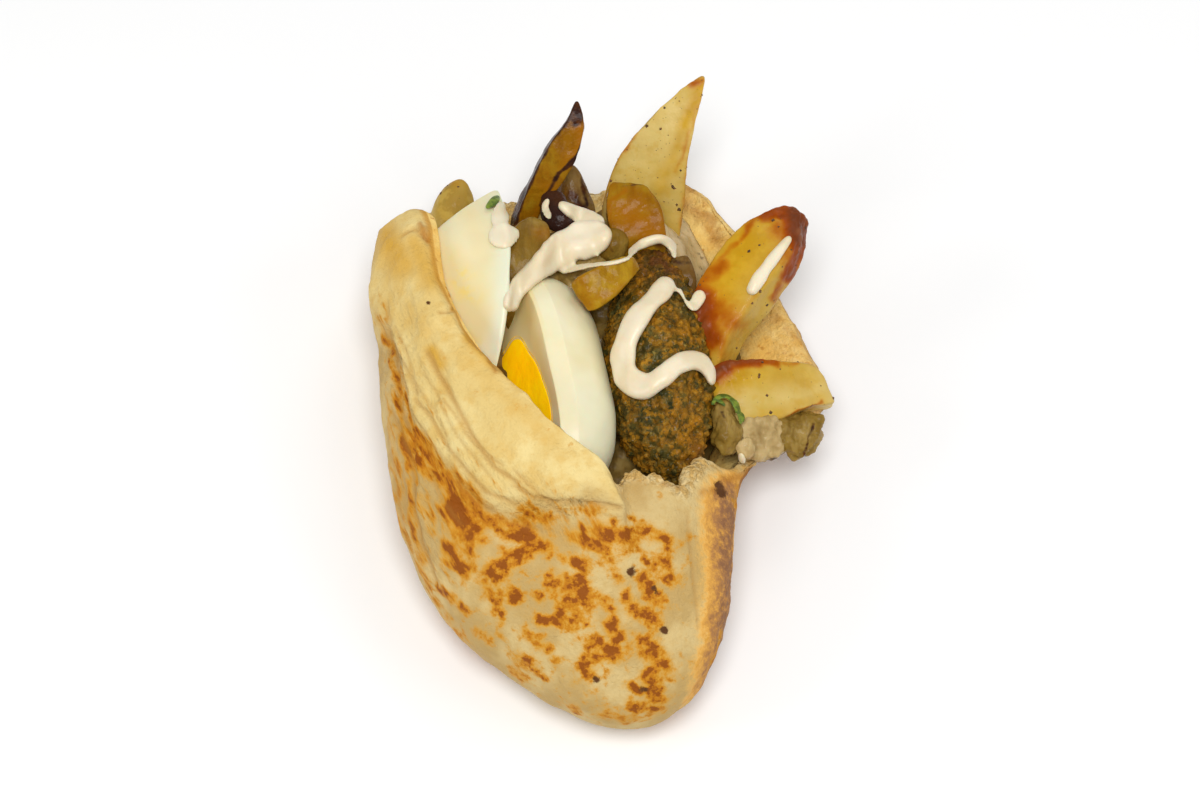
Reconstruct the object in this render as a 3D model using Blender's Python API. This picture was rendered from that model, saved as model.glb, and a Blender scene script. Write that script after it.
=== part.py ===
# Vegetable pita: a stuffed pocket bread lying on its back wall, the round closed end towards -Y
# and the open mouth towards +Y. Sizes are in millimetres and are turned into metres by MM.
import math

import bmesh
import bpy
import numpy as np

MM = 0.001
SKETCH_ORIGIN = np.array([-0.5, 5.5, 0.0])  # what is taken off every point, so that the box is centred

WALL, RIM_WALL, RIM_FADE = 5.5, 3.4, 6.0  # thickness of the bread, at its open edge, and how fast it thins
RIM_BULGE = 1.2  # how far the edge itself is rounded outwards
HOLLOW_START, HOLLOW_ROUND = 8.0, 16.0  # where the hollow begins past the wall, and its round end
GAP = 0.3  # room between two pieces that touch
SHARP_ANGLE = 40  # degrees, past which an edge is shaded sharp
STEP = 0.001  # share of a line over which its direction is measured

# Cross sections of the pocket from its closed end: reach along the bread, y, left x, right x,
# height of the left seam, height of the right seam, top, bottom
SECTIONS = np.array([
    [0, -86, 6, 6, 17, 17, 17, 17],
    [6, -85.3, 0, 12, 17, 17, 22, 11.5],
    [14, -82, -8, 20, 17, 18, 28, 7],
    [24, -76, -18, 26, 17, 19, 33.5, 4],
    [40, -64, -34, 32, 18, 22, 41, 1],
    [56, -50, -46, 35, 20, 25, 47.5, -1],
    [74, -32, -54, 36, 23, 28, 52.5, -1.5],
    [96, -10, -58.5, 38, 26, 27, 55.5, -1.5],
    [120, 14, -61.5, 42, 29, 23, 56, -1.5],
    [146, 40, -65.5, 44, 30, 20, 54, -1.5],
    [172, 66, -64, 40, 29, 18, 48, 1],
    [194, 88, -60, 36, 27, 16, 42, 5],
], float)
TOP_SQUARENESS, BOTTOM_SQUARENESS = 0.92, 0.75  # powers of the sine: 1 is an ellipse, less is squarer

# The open edge of the bread: angle round the section (0 right seam, 90 top, 180 left, 270 below), x, y, z
MOUTH = np.array([
    [0, 39, -17, 29],
    [10, 29, -18, 37],
    [22, 25.5, -24, 42],
    [32, 22.5, -30.5, 45],
    [48, 15, -29, 49],
    [66, 5.5, -28, 51.5],
    [76, 0.5, -28.7, 53],
    [90, -10.8, -20, 54],
    [104, -20.5, -12.5, 54],
    [116, -29.5, -3.8, 54],
    [128, -38, 9, 53.5],
    [138, -41.5, 19.5, 52.5],
    [150, -44.5, 33, 50.5],
    [158, -48, 47, 48],
    [169, -52, 57, 44],
    [180, -62, 62, 35],
    [195, -62, 67, 22],
    [210, -57, 70, 14],
    [225, -46, 75, 11],
    [245, -29, 79.5, 9],
    [262, -12, 82, 8],
    [272, -1, 83.5, 8],
    [286, 15, 86, 9],
    [296, 25, 85.5, 10],
    [305, 33, 78, 12],
    [315, 41, 65.6, 13],
    [326, 51.6, 44.3, 15],
    [336, 59, 27, 17],
    [345, 65, 9, 18.5],
    [351, 60, -5, 21],
    [356, 48, -15, 25],
    [360, 39, -17, 29],
], float)
# How far below the edge the bread is drawn towards it, by angle
DRAWN_ANGLES = (0, 14, 30, 330, 345, 360)
DRAWN_DEPTHS = (18, 28, 60, 60, 26, 18)

# The rolled lip on the front of the mouth: a band that stands off the wall and ends in a ledge
LIP_LIFT = 5.0
LIP_EDGE_ANGLES = (70, 78, 84, 90, 104, 116, 128, 140, 160, 180)
LIP_EDGE_DEPTHS = (9, 10, 14, 20, 27, 36, 40, 40, 34, 30)
ROLL_HEIGHT, ROLL_DEPTH, ROLL_SPREAD = 1.6, 9.0, 9.0
CREASE_DEPTH, CREASE_BELOW, CREASE_SPREAD = 2.2, 6.0, 6.0

# Columns of the bread's mesh, closer together where the lip ends and where the side is torn
COLUMNS = np.concatenate([
    np.linspace(0, 66, 12, endpoint=False),
    np.linspace(66, 84, 7, endpoint=False),
    np.linspace(84, 190, 14, endpoint=False),
    np.linspace(190, 330, 12, endpoint=False),
    np.linspace(330, 360, 5, endpoint=False),
])
OUTER_RINGS, RIM_RINGS, INNER_RINGS = 23, 2, 11

# Stuffing round and under the pieces: how far inside the bread it starts, and how far up each side it goes
STUFFING_INSET = 7.2
STUFFING_ANGLES = (0, 10, 30, 60, 90, 120, 150, 180, 210, 240, 270, 300, 322, 335, 347, 360)
STUFFING_REACH = (62, 56, 48, 46, 50, 70, 108, 138, 156, 168, 174, 176, 150, 118, 92, 62)
STUFFING_SIDE = 0.6  # share of the rings that go up the sides
STUFFING_MIDDLE = (2.0, 30.0)
# Height of its top, and the heap under the sauce: middle x, y, spread x, y, height above the rest
STUFFING_TOP = 25.0
HEAP_X, HEAP_Y, HEAP_WIDE, HEAP_LONG, HEAP_HEIGHT = -5.0, 47.0, 19.0, 15.0, 15.0

# Boiled egg cut lengthwise, standing on its edge: middle of the cut, long axis, cut normal, upward axis
EGG_MIDDLE = np.array([-21.0, 7.0, 30.2])
EGG_LONG = np.array([-0.19, 0.982, 0.0])
EGG_NORMAL = np.array([-0.89, -0.173, 0.423])
EGG_UP = np.array([0.415, 0.08, 0.906])
EGG_HALF_LENGTH, EGG_RADIUS, EGG_TAPER = 32.0, 22.5, 0.10
EGG_END_SQUARENESS, EGG_SIDE_SQUARENESS = 0.9, 0.75
EGG_FACE, EGG_BACK = 1.0, -17.0
YOLK_RADIUS, YOLK_STRETCH = 14.5, 1.12
YOLK_SHIFT_LONG, YOLK_SHIFT_UP = 1.0, 3.5

# Long pieces: points of the middle line, widths and depths along it, the way its broad side faces,
# flats of the section as (direction, distance) with None for an oval, roundness of the two ends
VIEW = (0.0, -0.47, 0.883)
BLOCK = ((0, 1), (90, 1), (180, 1), (270, 1))
PIECES = {
    "falafel": dict(
        line=((14.5, 48.5, 30), (15, 35.5, 31), (16.5, 14.5, 32), (18, -5, 32), (22, -22, 30)),
        width=(17, 25.5, 29.5, 29.5, 22), depth=(18, 28, 32, 31, 22), face=(0, 0, 1),
        ends=(2.8, 2.3), rings=16, columns=18, look="falafel_crust"),
    "egg_left": dict(
        line=((-28.5, 65.5, 41), (-30.5, 53.5, 42), (-33.5, 37, 40), (-37, 19.5, 35), (-38, 2, 28)),
        width=(3, 20, 25, 25, 22), depth=(4, 14, 20, 20, 16), face=(-0.35, -0.35, 0.8),
        flats=((90, 0.75), (215, 0.8), (325, 0.8)), ends=(1.5, 2.5), rings=14, columns=15,
        look="egg_white"),
    "potato_tall": dict(
        line=((29.5, 97, 52), (25, 91.5, 48), (19.5, 84.5, 42), (15, 77.5, 34), (12.5, 70, 26),
              (10.5, 61, 17), (10, 49, 12.5)),
        width=(7, 12, 17, 21, 23, 23, 20), depth=(5, 9, 12, 13, 13, 11, 8),
        flats=((85, 0.5), (205, 0.75), (330, 0.7)), ends=(2.2, 3), rings=16, columns=15,
        look="roast_potato"),
    "potato_right": dict(
        line=((55, 57, 44), (48, 46, 42), (38.5, 34, 39), (32, 23, 35), (29, 14.5, 30), (28, 4.5, 24)),
        width=(13, 18, 18.5, 17.5, 16, 14), depth=(12, 17, 18, 17, 16, 14),
        flats=((70, 0.8), (150, 0.95), (230, 0.9), (330, 0.9)), ends=(3.2, 3), rings=14, columns=16,
        look="roast_potato"),
    "potato_low": dict(
        line=((62.5, 9, 24), (56, 10, 25), (47, 7, 27), (37.5, 5, 28), (27.5, 3, 28)),
        width=(13, 17, 19.5, 21, 20), depth=(12, 16, 18, 19, 18),
        flats=((80, 0.9), (170, 1), (250, 0.9), (350, 1)), ends=(6, 4), rings=12, columns=16,
        look="roast_potato"),
    "potato_left": dict(
        line=((-40, 76.5, 30), (-41.5, 71.5, 26), (-43, 63.5, 21), (-43.5, 50, 17)),
        width=(9, 13, 14, 13), depth=(8, 12, 13, 12), ends=(2.4, 2.6), rings=10, columns=12,
        look="roast_potato"),
    "aubergine_tall": dict(
        line=((-6.5, 87, 54), (-7, 82, 51), (-10.5, 76.5, 46), (-15, 71, 39), (-19.5, 65.5, 32),
              (-22.5, 58, 24), (-23.5, 45, 16)),
        width=(5, 11, 13, 11.5, 10, 9, 9), depth=(4, 6, 7, 7, 6, 6, 6), turn=(0, 10, 20, 10),
        flats=BLOCK, ends=(2.2, 3), rings=16, columns=12, look="fried_aubergine"),
    "aubergine_olive": dict(
        line=((-8.5, 80, 32), (-8, 75, 29), (-6.5, 68, 24), (-5, 57.5, 16)),
        width=(7, 9.5, 10, 9), depth=(6, 8, 8, 8), ends=(2.4, 3), rings=10, columns=12,
        look="soft_aubergine"),
    "aubergine_skin": dict(
        line=((-14.5, 72, 36), (-13.5, 65, 37), (-11.5, 58.5, 38), (-8, 55, 36)),
        width=(4, 7, 9, 6), depth=(3, 4, 4, 4), ends=(2.4, 3), rings=10, columns=10,
        look="aubergine_peel"),
    "aubergine_left": dict(
        line=((-16.5, 55, 42), (-20, 48, 41), (-23, 39.5, 38), (-23, 33, 33), (-23, 27, 27)),
        width=(9, 12, 12, 10, 8), depth=(8, 10, 11, 10, 8), flats=BLOCK, ends=(3, 3), rings=10,
        columns=12, look="soft_aubergine"),
    "aubergine_amber": dict(
        line=((8.5, 67, 42), (9.5, 61.5, 40), (12, 54, 36), (13, 50, 31), (12, 46, 25)),
        width=(9, 13, 13, 12, 10), depth=(6, 8, 10, 9, 8), flats=BLOCK, ends=(3, 3), rings=10,
        columns=12, look="fried_aubergine"),
    "aubergine_green": dict(
        line=((0.5, 52.5, 38), (3.5, 48.5, 39), (6.5, 46.5, 37)),
        width=(8, 10, 8), depth=(6, 7, 6), ends=(2.4, 2.4), rings=8, columns=10,
        look="soft_aubergine"),
    "aubergine_cube": dict(
        line=((-7.5, 28.5, 45), (-3.5, 30, 46), (3.5, 33.5, 47), (10, 38, 46)),
        width=(9, 11, 10, 7), depth=(8, 9, 9, 7), flats=BLOCK, ends=(5, 3), rings=10, columns=12,
        look="soft_aubergine"),
    "aubergine_brown": dict(
        line=((25, 48.5, 35), (26, 42, 34), (27, 36, 31)),
        width=(5, 6, 5), depth=(5, 6, 6), flats=BLOCK, ends=(3, 3), rings=8, columns=10,
        look="fried_aubergine"),
    "aubergine_grey": dict(
        line=((33.5, 1, 35), (34, -6, 35), (35, -13, 31)),
        width=(6, 8.5, 9), depth=(6, 8, 8), ends=(2.5, 2.5), rings=8, columns=10,
        look="soft_aubergine"),
    "aubergine_low": dict(
        line=((54, 4, 24.5), (53, -3, 26), (50.5, -9, 26)),
        width=(9, 12, 8), depth=(7, 8, 6), ends=(2.4, 2.4), rings=8, columns=10,
        look="soft_aubergine"),
    "aubergine_mash": dict(
        line=((39, -6, 28), (43.5, -7, 28), (48, -5, 27)),
        width=(9, 11, 9), depth=(8, 9, 8), ends=(2.4, 2.4), rings=8, columns=10,
        look="soft_aubergine"),
    "onion": dict(
        line=((37, -13, 35), (40, -13.5, 34.5), (43, -13, 33)),
        width=(5, 7, 5), depth=(4, 5, 4), ends=(2.4, 2.4), rings=6, columns=8,
        look="soft_aubergine"),
}

# Which pieces keep their whole shape where two press together: each is cut by those before it
ORDER = (
    "falafel", "egg_right_white", "egg_right_yolk", "egg_left", "potato_right", "potato_low",
    "potato_tall", "aubergine_tall", "aubergine_cube", "aubergine_left", "aubergine_amber",
    "aubergine_grey", "potato_left", "aubergine_skin", "aubergine_olive", "aubergine_green",
    "aubergine_brown", "aubergine_low", "aubergine_mash", "onion",
)

# Colour and roughness of each material
LOOKS = {
    "baked_bread": ((0.62, 0.40, 0.14), 0.75),
    "egg_white": ((0.82, 0.80, 0.55), 0.35),
    "egg_yolk": ((0.87, 0.45, 0.01), 0.6),
    "falafel_crust": ((0.15, 0.09, 0.02), 0.85),
    "roast_potato": ((0.62, 0.43, 0.11), 0.45),
    "fried_aubergine": ((0.28, 0.14, 0.02), 0.35),
    "soft_aubergine": ((0.40, 0.28, 0.10), 0.3),
    "aubergine_peel": ((0.05, 0.02, 0.02), 0.3),
    "stuffing_mash": ((0.45, 0.31, 0.12), 0.55),
}


def curve(keys, values, at):
    """Smooth curve through values at keys: cubic pieces with finite-difference slopes."""
    keys, values = np.asarray(keys, float), np.asarray(values, float)
    flat = values.ndim == 1
    values = values[:, None] if flat else values
    step = np.diff(keys)
    rise = np.diff(values, axis=0) / step[:, None]
    slope = np.empty_like(values)
    slope[1:-1] = (rise[:-1] * step[1:, None] + rise[1:] * step[:-1, None]) / (keys[2:] - keys[:-2])[:, None]
    slope[0] = 1.5 * rise[0] - 0.5 * slope[1]
    slope[-1] = 1.5 * rise[-1] - 0.5 * slope[-2]
    shape = np.shape(at)
    at = np.clip(np.ravel(at), keys[0], keys[-1])
    i = np.clip(np.searchsorted(keys, at, side="right") - 1, 0, len(keys) - 2)
    h = step[i]
    t = ((at - keys[i]) / h)[:, None]
    h = h[:, None]
    out = (
        (2 * t**3 - 3 * t**2 + 1) * values[i] + (t**3 - 2 * t**2 + t) * h * slope[i]
        + (3 * t**2 - 2 * t**3) * values[i + 1] + (t**3 - t**2) * h * slope[i + 1]
    )
    out = out.reshape(shape + (values.shape[1],))
    return out[..., 0] if flat else out


def rise(low, high, at):
    """Smooth step from 0 at low to 1 at high."""
    t = np.clip((at - low) / (high - low), 0, 1)
    return t * t * (3 - 2 * t)


def unit(v):
    v = np.asarray(v, float)
    return v / np.maximum(np.linalg.norm(v, axis=-1, keepdims=True), 1e-9)


def mouth_point(angle):
    keys = np.concatenate([MOUTH[:-1, 0] - 360, MOUTH[:, 0], MOUTH[1:, 0] + 360])
    rows = np.concatenate([MOUTH[:-1, 1:], MOUTH[:, 1:], MOUTH[1:, 1:]])
    return curve(keys, rows, angle)


def mouth_reach(angle):
    return np.interp(mouth_point(angle)[..., 1], SECTIONS[:, 1], SECTIONS[:, 0])


def section_point(angle, reach, inset=0.0, closing=1.0):
    """Point of the pocket's cross section at a reach, inset towards its middle, shrunk by closing."""
    sizes = curve(SECTIONS[:, 0], SECTIONS[:, 1:], reach)
    y, left, right, seam_l, seam_r, top, bottom = (sizes[..., i] for i in range(7))
    left, right, top = left + inset, right - inset, top - inset
    bottom = np.where(np.asarray(inset) > 0, np.maximum(bottom, 0), bottom) + inset
    c, s = np.cos(np.radians(angle)), np.sin(np.radians(angle))
    x = (left + right) / 2 + (right - left) / 2 * c * closing
    seam = seam_l + (seam_r - seam_l) * (c + 1) / 2
    above = seam + (top - seam) * np.abs(s) ** TOP_SQUARENESS * closing
    below = seam - (seam - bottom) * np.abs(s) ** BOTTOM_SQUARENESS * closing
    return np.stack([x, y, np.where(s >= 0, above, below)], -1)


def towards_mouth(angle, depth):
    """What is added to a section point, depth mm below the open edge, so that the edge passes MOUTH."""
    end = section_point(angle, mouth_reach(angle))
    spread = np.interp(angle, DRAWN_ANGLES, DRAWN_DEPTHS)
    return (mouth_point(angle) - end) * (np.clip(1 - depth / spread, 0, 1) ** 2)[..., None]


def lip(angle, depth):
    """How far the front stands out: the lifted band, its rolled edge and the crease below it."""
    edge = np.interp(angle, LIP_EDGE_ANGLES, LIP_EDGE_DEPTHS)
    band = rise(71, 76, angle) * (1 - 0.75 * rise(95, 135, angle)) * (1 - rise(172, 186, angle))
    front = rise(70, 80, angle) * (1 - rise(165, 182, angle))
    roll = ROLL_HEIGHT * np.exp(-(((depth - ROLL_DEPTH) / ROLL_SPREAD) ** 2)) * front
    crease = np.exp(-(((depth - edge - CREASE_BELOW) / CREASE_SPREAD) ** 2))
    crease = crease * rise(82, 110, angle) * (1 - rise(165, 185, angle))
    return LIP_LIFT * band * (1 - rise(edge - 3, edge + 1.5, depth)) + roll - CREASE_DEPTH * crease


def outer_bread(angle, part):
    """Outside of the bread, part 0 at the closed end and 1 at the open edge."""
    reach = mouth_reach(angle)
    depth = (1 - part) * reach
    point = section_point(angle, part * reach) + towards_mouth(angle, depth)
    c, s = np.cos(np.radians(angle)), np.sin(np.radians(angle))
    outward = np.stack([0.8 * c, np.zeros_like(c), s], -1)
    point = point + unit(outward) * lip(angle, depth)[..., None]
    point[..., 2] = np.maximum(point[..., 2], 0)
    return point


def inner_bread(angle, part, inset=WALL):
    """Inside of the bread: the same sections, inset, closed with a round end."""
    start = HOLLOW_START + inset
    reach = mouth_reach(angle)
    along = start + (reach - start) * part
    closing = np.sqrt(1 - (1 - np.clip((along - start) / HOLLOW_ROUND, 0, 1)) ** 2)
    depth = reach - along
    inset = inset - (WALL - RIM_WALL) * np.exp(-depth / RIM_FADE)
    return section_point(angle, along, inset, closing) + towards_mouth(angle, depth)


def bread(angle, v):
    """The whole bread as one closed sheet: v from the outer closed end over the rim to the inner one."""
    rings = OUTER_RINGS + RIM_RINGS + INNER_RINGS
    ring = v * rings
    outer = outer_bread(angle, np.clip(ring / OUTER_RINGS, 0, 1))
    inner = inner_bread(angle, np.clip((rings - ring) / INNER_RINGS, 0, 1))
    over = np.clip((ring - OUTER_RINGS) / RIM_RINGS, 0, 1)[..., None]
    rim = outer * (1 - over) + inner * over
    rim[..., 1] += 4 * RIM_BULGE * (over * (1 - over))[..., 0]
    return np.where(over <= 0, outer, np.where(over >= 1, inner, rim))


def stuffing(angle, v):
    """Stuffing: up the inside of the bread for the first part of v, then over the top to its middle."""
    reach = curve(STUFFING_ANGLES, STUFFING_REACH, angle)
    start = HOLLOW_START + STUFFING_INSET
    side = np.clip(v / STUFFING_SIDE, 0, 1)
    along = start + (reach - start) * side
    closing = np.sqrt(1 - (1 - np.clip((along - start) / HOLLOW_ROUND, 0, 1)) ** 2)
    wall = section_point(angle, along, STUFFING_INSET, closing)
    wall = wall + towards_mouth(angle, mouth_reach(angle) - along)
    edge = section_point(angle, reach, STUFFING_INSET) + towards_mouth(angle, mouth_reach(angle) - reach)
    over = np.clip((v - STUFFING_SIDE) / (1 - STUFFING_SIDE), 0, 1)[..., None]
    middle = np.array([*STUFFING_MIDDLE, STUFFING_TOP])
    top = edge * (1 - over) + middle * over
    heap = np.exp(-(((top[..., 0] - HEAP_X) / HEAP_WIDE) ** 2) - ((top[..., 1] - HEAP_Y) / HEAP_LONG) ** 2)
    level = STUFFING_TOP + HEAP_HEIGHT * heap
    blend = rise(0, 0.4, over[..., 0])
    top[..., 2] = edge[..., 2] * (1 - blend) + level * blend
    return np.where(over > 0, top, wall)


def swept(line, width, depth, face=VIEW, turn=(0,), flats=None, ends=(2.6, 2.6)):
    """A long piece as a function of (angle, v): a section carried along a line and closed at both ends."""
    line = np.asarray(line, float)
    lengths = np.linalg.norm(np.diff(line, axis=0), axis=1)
    keys = np.concatenate([[0], np.cumsum(lengths)]) / lengths.sum()

    def place(angle, v):
        k = (1 - np.cos(np.pi * v)) / 2
        centre = curve(keys, line, k)
        ahead, behind = np.clip(k + STEP, 0, 1), np.clip(k - STEP, 0, 1)
        along = unit(curve(keys, line, ahead) - curve(keys, line, behind))
        front = np.broadcast_to(np.asarray(face, float), along.shape)
        front = unit(front - (front * along).sum(-1, keepdims=True) * along)
        side = np.cross(along, front)
        a = np.radians(angle)
        if flats is None:
            x, y = np.cos(a), np.sin(a)
        else:
            pull = sum(np.maximum(0, np.cos(a - math.radians(d)) / far) ** 10 for d, far in flats)
            x, y = pull**-0.1 * np.cos(a), pull**-0.1 * np.sin(a)
        power = np.where(k < 0.5, ends[0], ends[1])
        round_end = (1 - np.abs(1 - 2 * k) ** power) ** (1 / power)
        x = x * round_end * curve(np.linspace(0, 1, len(width)), width, k) / 2
        y = y * round_end * curve(np.linspace(0, 1, len(depth)), depth, k) / 2
        r = np.radians(np.interp(k, np.linspace(0, 1, len(turn)), turn))
        x, y = x * np.cos(r) - y * np.sin(r), x * np.sin(r) + y * np.cos(r)
        return centre + side * x[..., None] + front * y[..., None]

    return place


def egg_body(angle, v):
    """Whole boiled egg from its wide end to its narrow one, a little squarer than an ellipse."""
    polar, around = np.pi * v, np.radians(angle)
    c, s = np.cos(polar), np.sin(polar)
    x = EGG_HALF_LENGTH * np.sign(c) * np.abs(c) ** EGG_END_SQUARENESS
    r = EGG_RADIUS * s**EGG_SIDE_SQUARENESS * (1 - EGG_TAPER * c)
    return (
        EGG_MIDDLE + EGG_LONG * x[..., None] + EGG_UP * (r * np.sin(around))[..., None]
        + EGG_NORMAL * (r * np.cos(around))[..., None]
    )


def yolk_body(angle, v):
    polar, around = np.pi * v, np.radians(angle)
    middle = EGG_MIDDLE + EGG_LONG * YOLK_SHIFT_LONG + EGG_UP * YOLK_SHIFT_UP + EGG_NORMAL * EGG_FACE
    x = YOLK_RADIUS * YOLK_STRETCH * np.cos(polar)
    r = YOLK_RADIUS * np.sin(polar)
    return (
        middle + EGG_LONG * x[..., None] + EGG_UP * (r * np.sin(around))[..., None]
        + EGG_NORMAL * (r * np.cos(around))[..., None]
    )


def collection(name, hidden=False):
    made = bpy.data.collections.new(name)
    made.hide_render = hidden
    bpy.context.scene.collection.children.link(made)
    return made


def material(name):
    colour, roughness = LOOKS[name]
    made = bpy.data.materials.get(name)
    if made is None:
        made = bpy.data.materials.new(name)
        made.use_nodes = True
        shader = made.node_tree.nodes["Principled BSDF"]
        shader.inputs["Base Color"].default_value = (*colour, 1)
        shader.inputs["Roughness"].default_value = roughness
        shader.inputs["Metallic"].default_value = 0
    return made


def ball(name, place, columns, rings, look, where, column_angles=None, cuts=()):
    """A ball whose points are moved by place(angle, v), flat where a plane (point, normal) cuts it."""
    bm = bmesh.new()
    bmesh.ops.create_uvsphere(bm, u_segments=columns, v_segments=rings, radius=1)
    raw = np.array([v.co for v in bm.verts])
    v = np.arccos(np.clip(-raw[:, 2], -1, 1)) / np.pi
    angle = np.degrees(np.arctan2(raw[:, 1], raw[:, 0])) % 360
    if column_angles is not None:
        angle = np.asarray(column_angles)[np.round(angle / 360 * columns).astype(int) % columns]
    v = np.round(v * rings) / rings
    for vertex, point in zip(bm.verts, (place(angle, v) - SKETCH_ORIGIN) * MM):
        vertex.co = point
    for point, normal in cuts:
        everything = bm.verts[:] + bm.edges[:] + bm.faces[:]
        place_of_cut = (point - SKETCH_ORIGIN) * MM
        cut = bmesh.ops.bisect_plane(
            bm, geom=everything, dist=1e-6, plane_co=place_of_cut, plane_no=normal, clear_outer=True)
        edges = [e for e in cut["geom_cut"] if isinstance(e, bmesh.types.BMEdge)]
        bmesh.ops.holes_fill(bm, edges=edges, sides=0)
    bmesh.ops.recalc_face_normals(bm, faces=bm.faces[:])
    if bm.calc_volume(signed=True) < 0:
        bmesh.ops.reverse_faces(bm, faces=bm.faces[:])
    mesh = bpy.data.meshes.new(name)
    bm.to_mesh(mesh)
    bm.free()
    mesh.shade_smooth()
    mesh.set_sharp_from_angle(angle=math.radians(SHARP_ANGLE))
    mesh.materials.append(material(look))
    made = bpy.data.objects.new(name, mesh)
    where.objects.link(made)
    return made


def grown(thing, where):
    """A hidden copy of a piece, larger all round by GAP, that cuts the pieces pressed against it."""
    cutter = bpy.data.objects.new("cut_" + thing.name, thing.data.copy())
    where.objects.link(cutter)
    cutter.hide_render = True
    cutter.display_type = "WIRE"
    swell = cutter.modifiers.new("grow", "DISPLACE")
    swell.strength = GAP * MM
    swell.mid_level = 0
    return cutter


def box_of(thing):
    points = np.array([v.co for v in thing.data.vertices])
    return points.min(0), points.max(0)


def cut(thing, cutter):
    low_a, high_a = box_of(thing)
    low_b, high_b = box_of(cutter)
    if np.all(low_a < high_b + GAP * MM) and np.all(low_b < high_a + GAP * MM):
        difference = thing.modifiers.new("clear_" + cutter.name, "BOOLEAN")
        difference.operation = "DIFFERENCE"
        difference.solver = "EXACT"
        difference.object = cutter


for old in list(bpy.data.objects):
    bpy.data.objects.remove(old, do_unlink=True)

food = collection("vegetable_pita")
cutters = collection("cutters", hidden=True)

pita = ball("pita", bread, len(COLUMNS), OUTER_RINGS + RIM_RINGS + INNER_RINGS, "baked_bread", food, COLUMNS)

made = {}
face = EGG_MIDDLE + EGG_NORMAL * EGG_FACE
back = EGG_MIDDLE + EGG_NORMAL * EGG_BACK
made["egg_right_white"] = ball(
    "egg_right_white", egg_body, 20, 14, "egg_white", food, cuts=((face, EGG_NORMAL), (back, -EGG_NORMAL)))
made["egg_right_yolk"] = ball(
    "egg_right_yolk", yolk_body, 16, 10, "egg_yolk", food, cuts=((face, EGG_NORMAL),))
whole_yolk = ball("cut_whole_yolk", yolk_body, 16, 10, "egg_yolk", cutters)
whole_yolk.hide_render = True
whole_yolk.display_type = "WIRE"
cut(made["egg_right_white"], grown(whole_yolk, cutters))

for name, sizes in PIECES.items():
    shape = swept(
        sizes["line"], sizes["width"], sizes["depth"], sizes.get("face", VIEW), sizes.get("turn", (0,)),
        sizes.get("flats"), sizes["ends"])
    made[name] = ball(name, shape, sizes["columns"], sizes["rings"], sizes["look"], food)

stuffing_mash = ball("stuffing", stuffing, 24, 16, "stuffing_mash", food)

bread_cutter = grown(pita, cutters)
before = []
for name in ORDER:
    piece = made[name]
    cut(piece, bread_cutter)
    for other in before:
        if {name, other.name} != {"cut_egg_right_white", "egg_right_yolk"}:
            cut(piece, other)
    before.append(grown(piece, cutters))
for other in before:
    cut(stuffing_mash, other)
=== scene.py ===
# Vegetable pita: an open pocket bread lying on its back wall with its filling, in detail over the CAD model.
# Shapes are worked out in millimetres in one sketch frame: the closed end of the bread towards -y, the mouth
# up and towards +y. Marks and sauce are placed by the pixels of the 1200 x 800 photograph.
import math

import bpy
import numpy as np
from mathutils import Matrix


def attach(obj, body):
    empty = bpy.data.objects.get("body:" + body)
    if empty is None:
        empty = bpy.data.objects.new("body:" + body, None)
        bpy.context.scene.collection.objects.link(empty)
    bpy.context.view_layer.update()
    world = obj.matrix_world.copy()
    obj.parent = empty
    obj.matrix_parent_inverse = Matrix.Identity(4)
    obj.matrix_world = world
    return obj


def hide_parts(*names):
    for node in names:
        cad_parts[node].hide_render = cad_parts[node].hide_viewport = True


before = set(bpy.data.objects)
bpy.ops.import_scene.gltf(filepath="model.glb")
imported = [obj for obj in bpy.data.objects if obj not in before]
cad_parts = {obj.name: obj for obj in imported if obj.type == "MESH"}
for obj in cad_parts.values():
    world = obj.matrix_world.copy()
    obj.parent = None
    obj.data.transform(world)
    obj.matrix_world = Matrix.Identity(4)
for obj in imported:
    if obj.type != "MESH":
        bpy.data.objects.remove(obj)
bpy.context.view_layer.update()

scene = bpy.context.scene
metre = 0.001                           # a sketch millimetre in metres
toModel = np.array([0.5, -5.5, 0.0])    # added to a sketch point to come to the model's frame

camera = dict(target=(0, 7, 25), elevation=62, distance=787, lens=85, sensor=36, wide=1200, tall=800,
              near=0.01, far=20)        # the last two in metres
lookDown = math.radians(camera["elevation"])
forward = np.array([0, math.cos(lookDown), -math.sin(lookDown)])
sideways = np.array([1.0, 0, 0])
upright = np.array([0, math.sin(lookDown), math.cos(lookDown)])
eye = np.array(camera["target"]) - forward * camera["distance"]
focal = camera["lens"] / camera["sensor"] * camera["wide"]      # in pixels
middleX, middleY = camera["wide"] / 2, camera["tall"] / 2
pixelsPerMm = 3.65                                              # of the photograph, at the food's height


def through(keys, values, at):
    # Smooth line through values at keys: cubic pieces, each slope taken from the two neighbouring steps
    keys, values = np.asarray(keys, float), np.asarray(values, float)
    single = values.ndim == 1
    values = values[:, None] if single else values
    step = np.diff(keys)
    grade = np.diff(values, axis=0) / step[:, None]
    slope = np.empty_like(values)
    slope[1:-1] = (grade[:-1] * step[1:, None] + grade[1:] * step[:-1, None]) / (keys[2:] - keys[:-2])[:, None]
    slope[0] = 1.5 * grade[0] - 0.5 * slope[1]
    slope[-1] = 1.5 * grade[-1] - 0.5 * slope[-2]
    shape = np.shape(at)
    at = np.clip(np.ravel(at), keys[0], keys[-1])
    i = np.clip(np.searchsorted(keys, at, side="right") - 1, 0, len(keys) - 2)
    t, h = ((at - keys[i]) / step[i])[:, None], step[i][:, None]
    out = ((2 * t**3 - 3 * t**2 + 1) * values[i] + (t**3 - 2 * t**2 + t) * h * slope[i]
           + (3 * t**2 - 2 * t**3) * values[i + 1] + (t**3 - t**2) * h * slope[i + 1])
    out = out.reshape(shape + (values.shape[1],))
    return out[..., 0] if single else out


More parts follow.
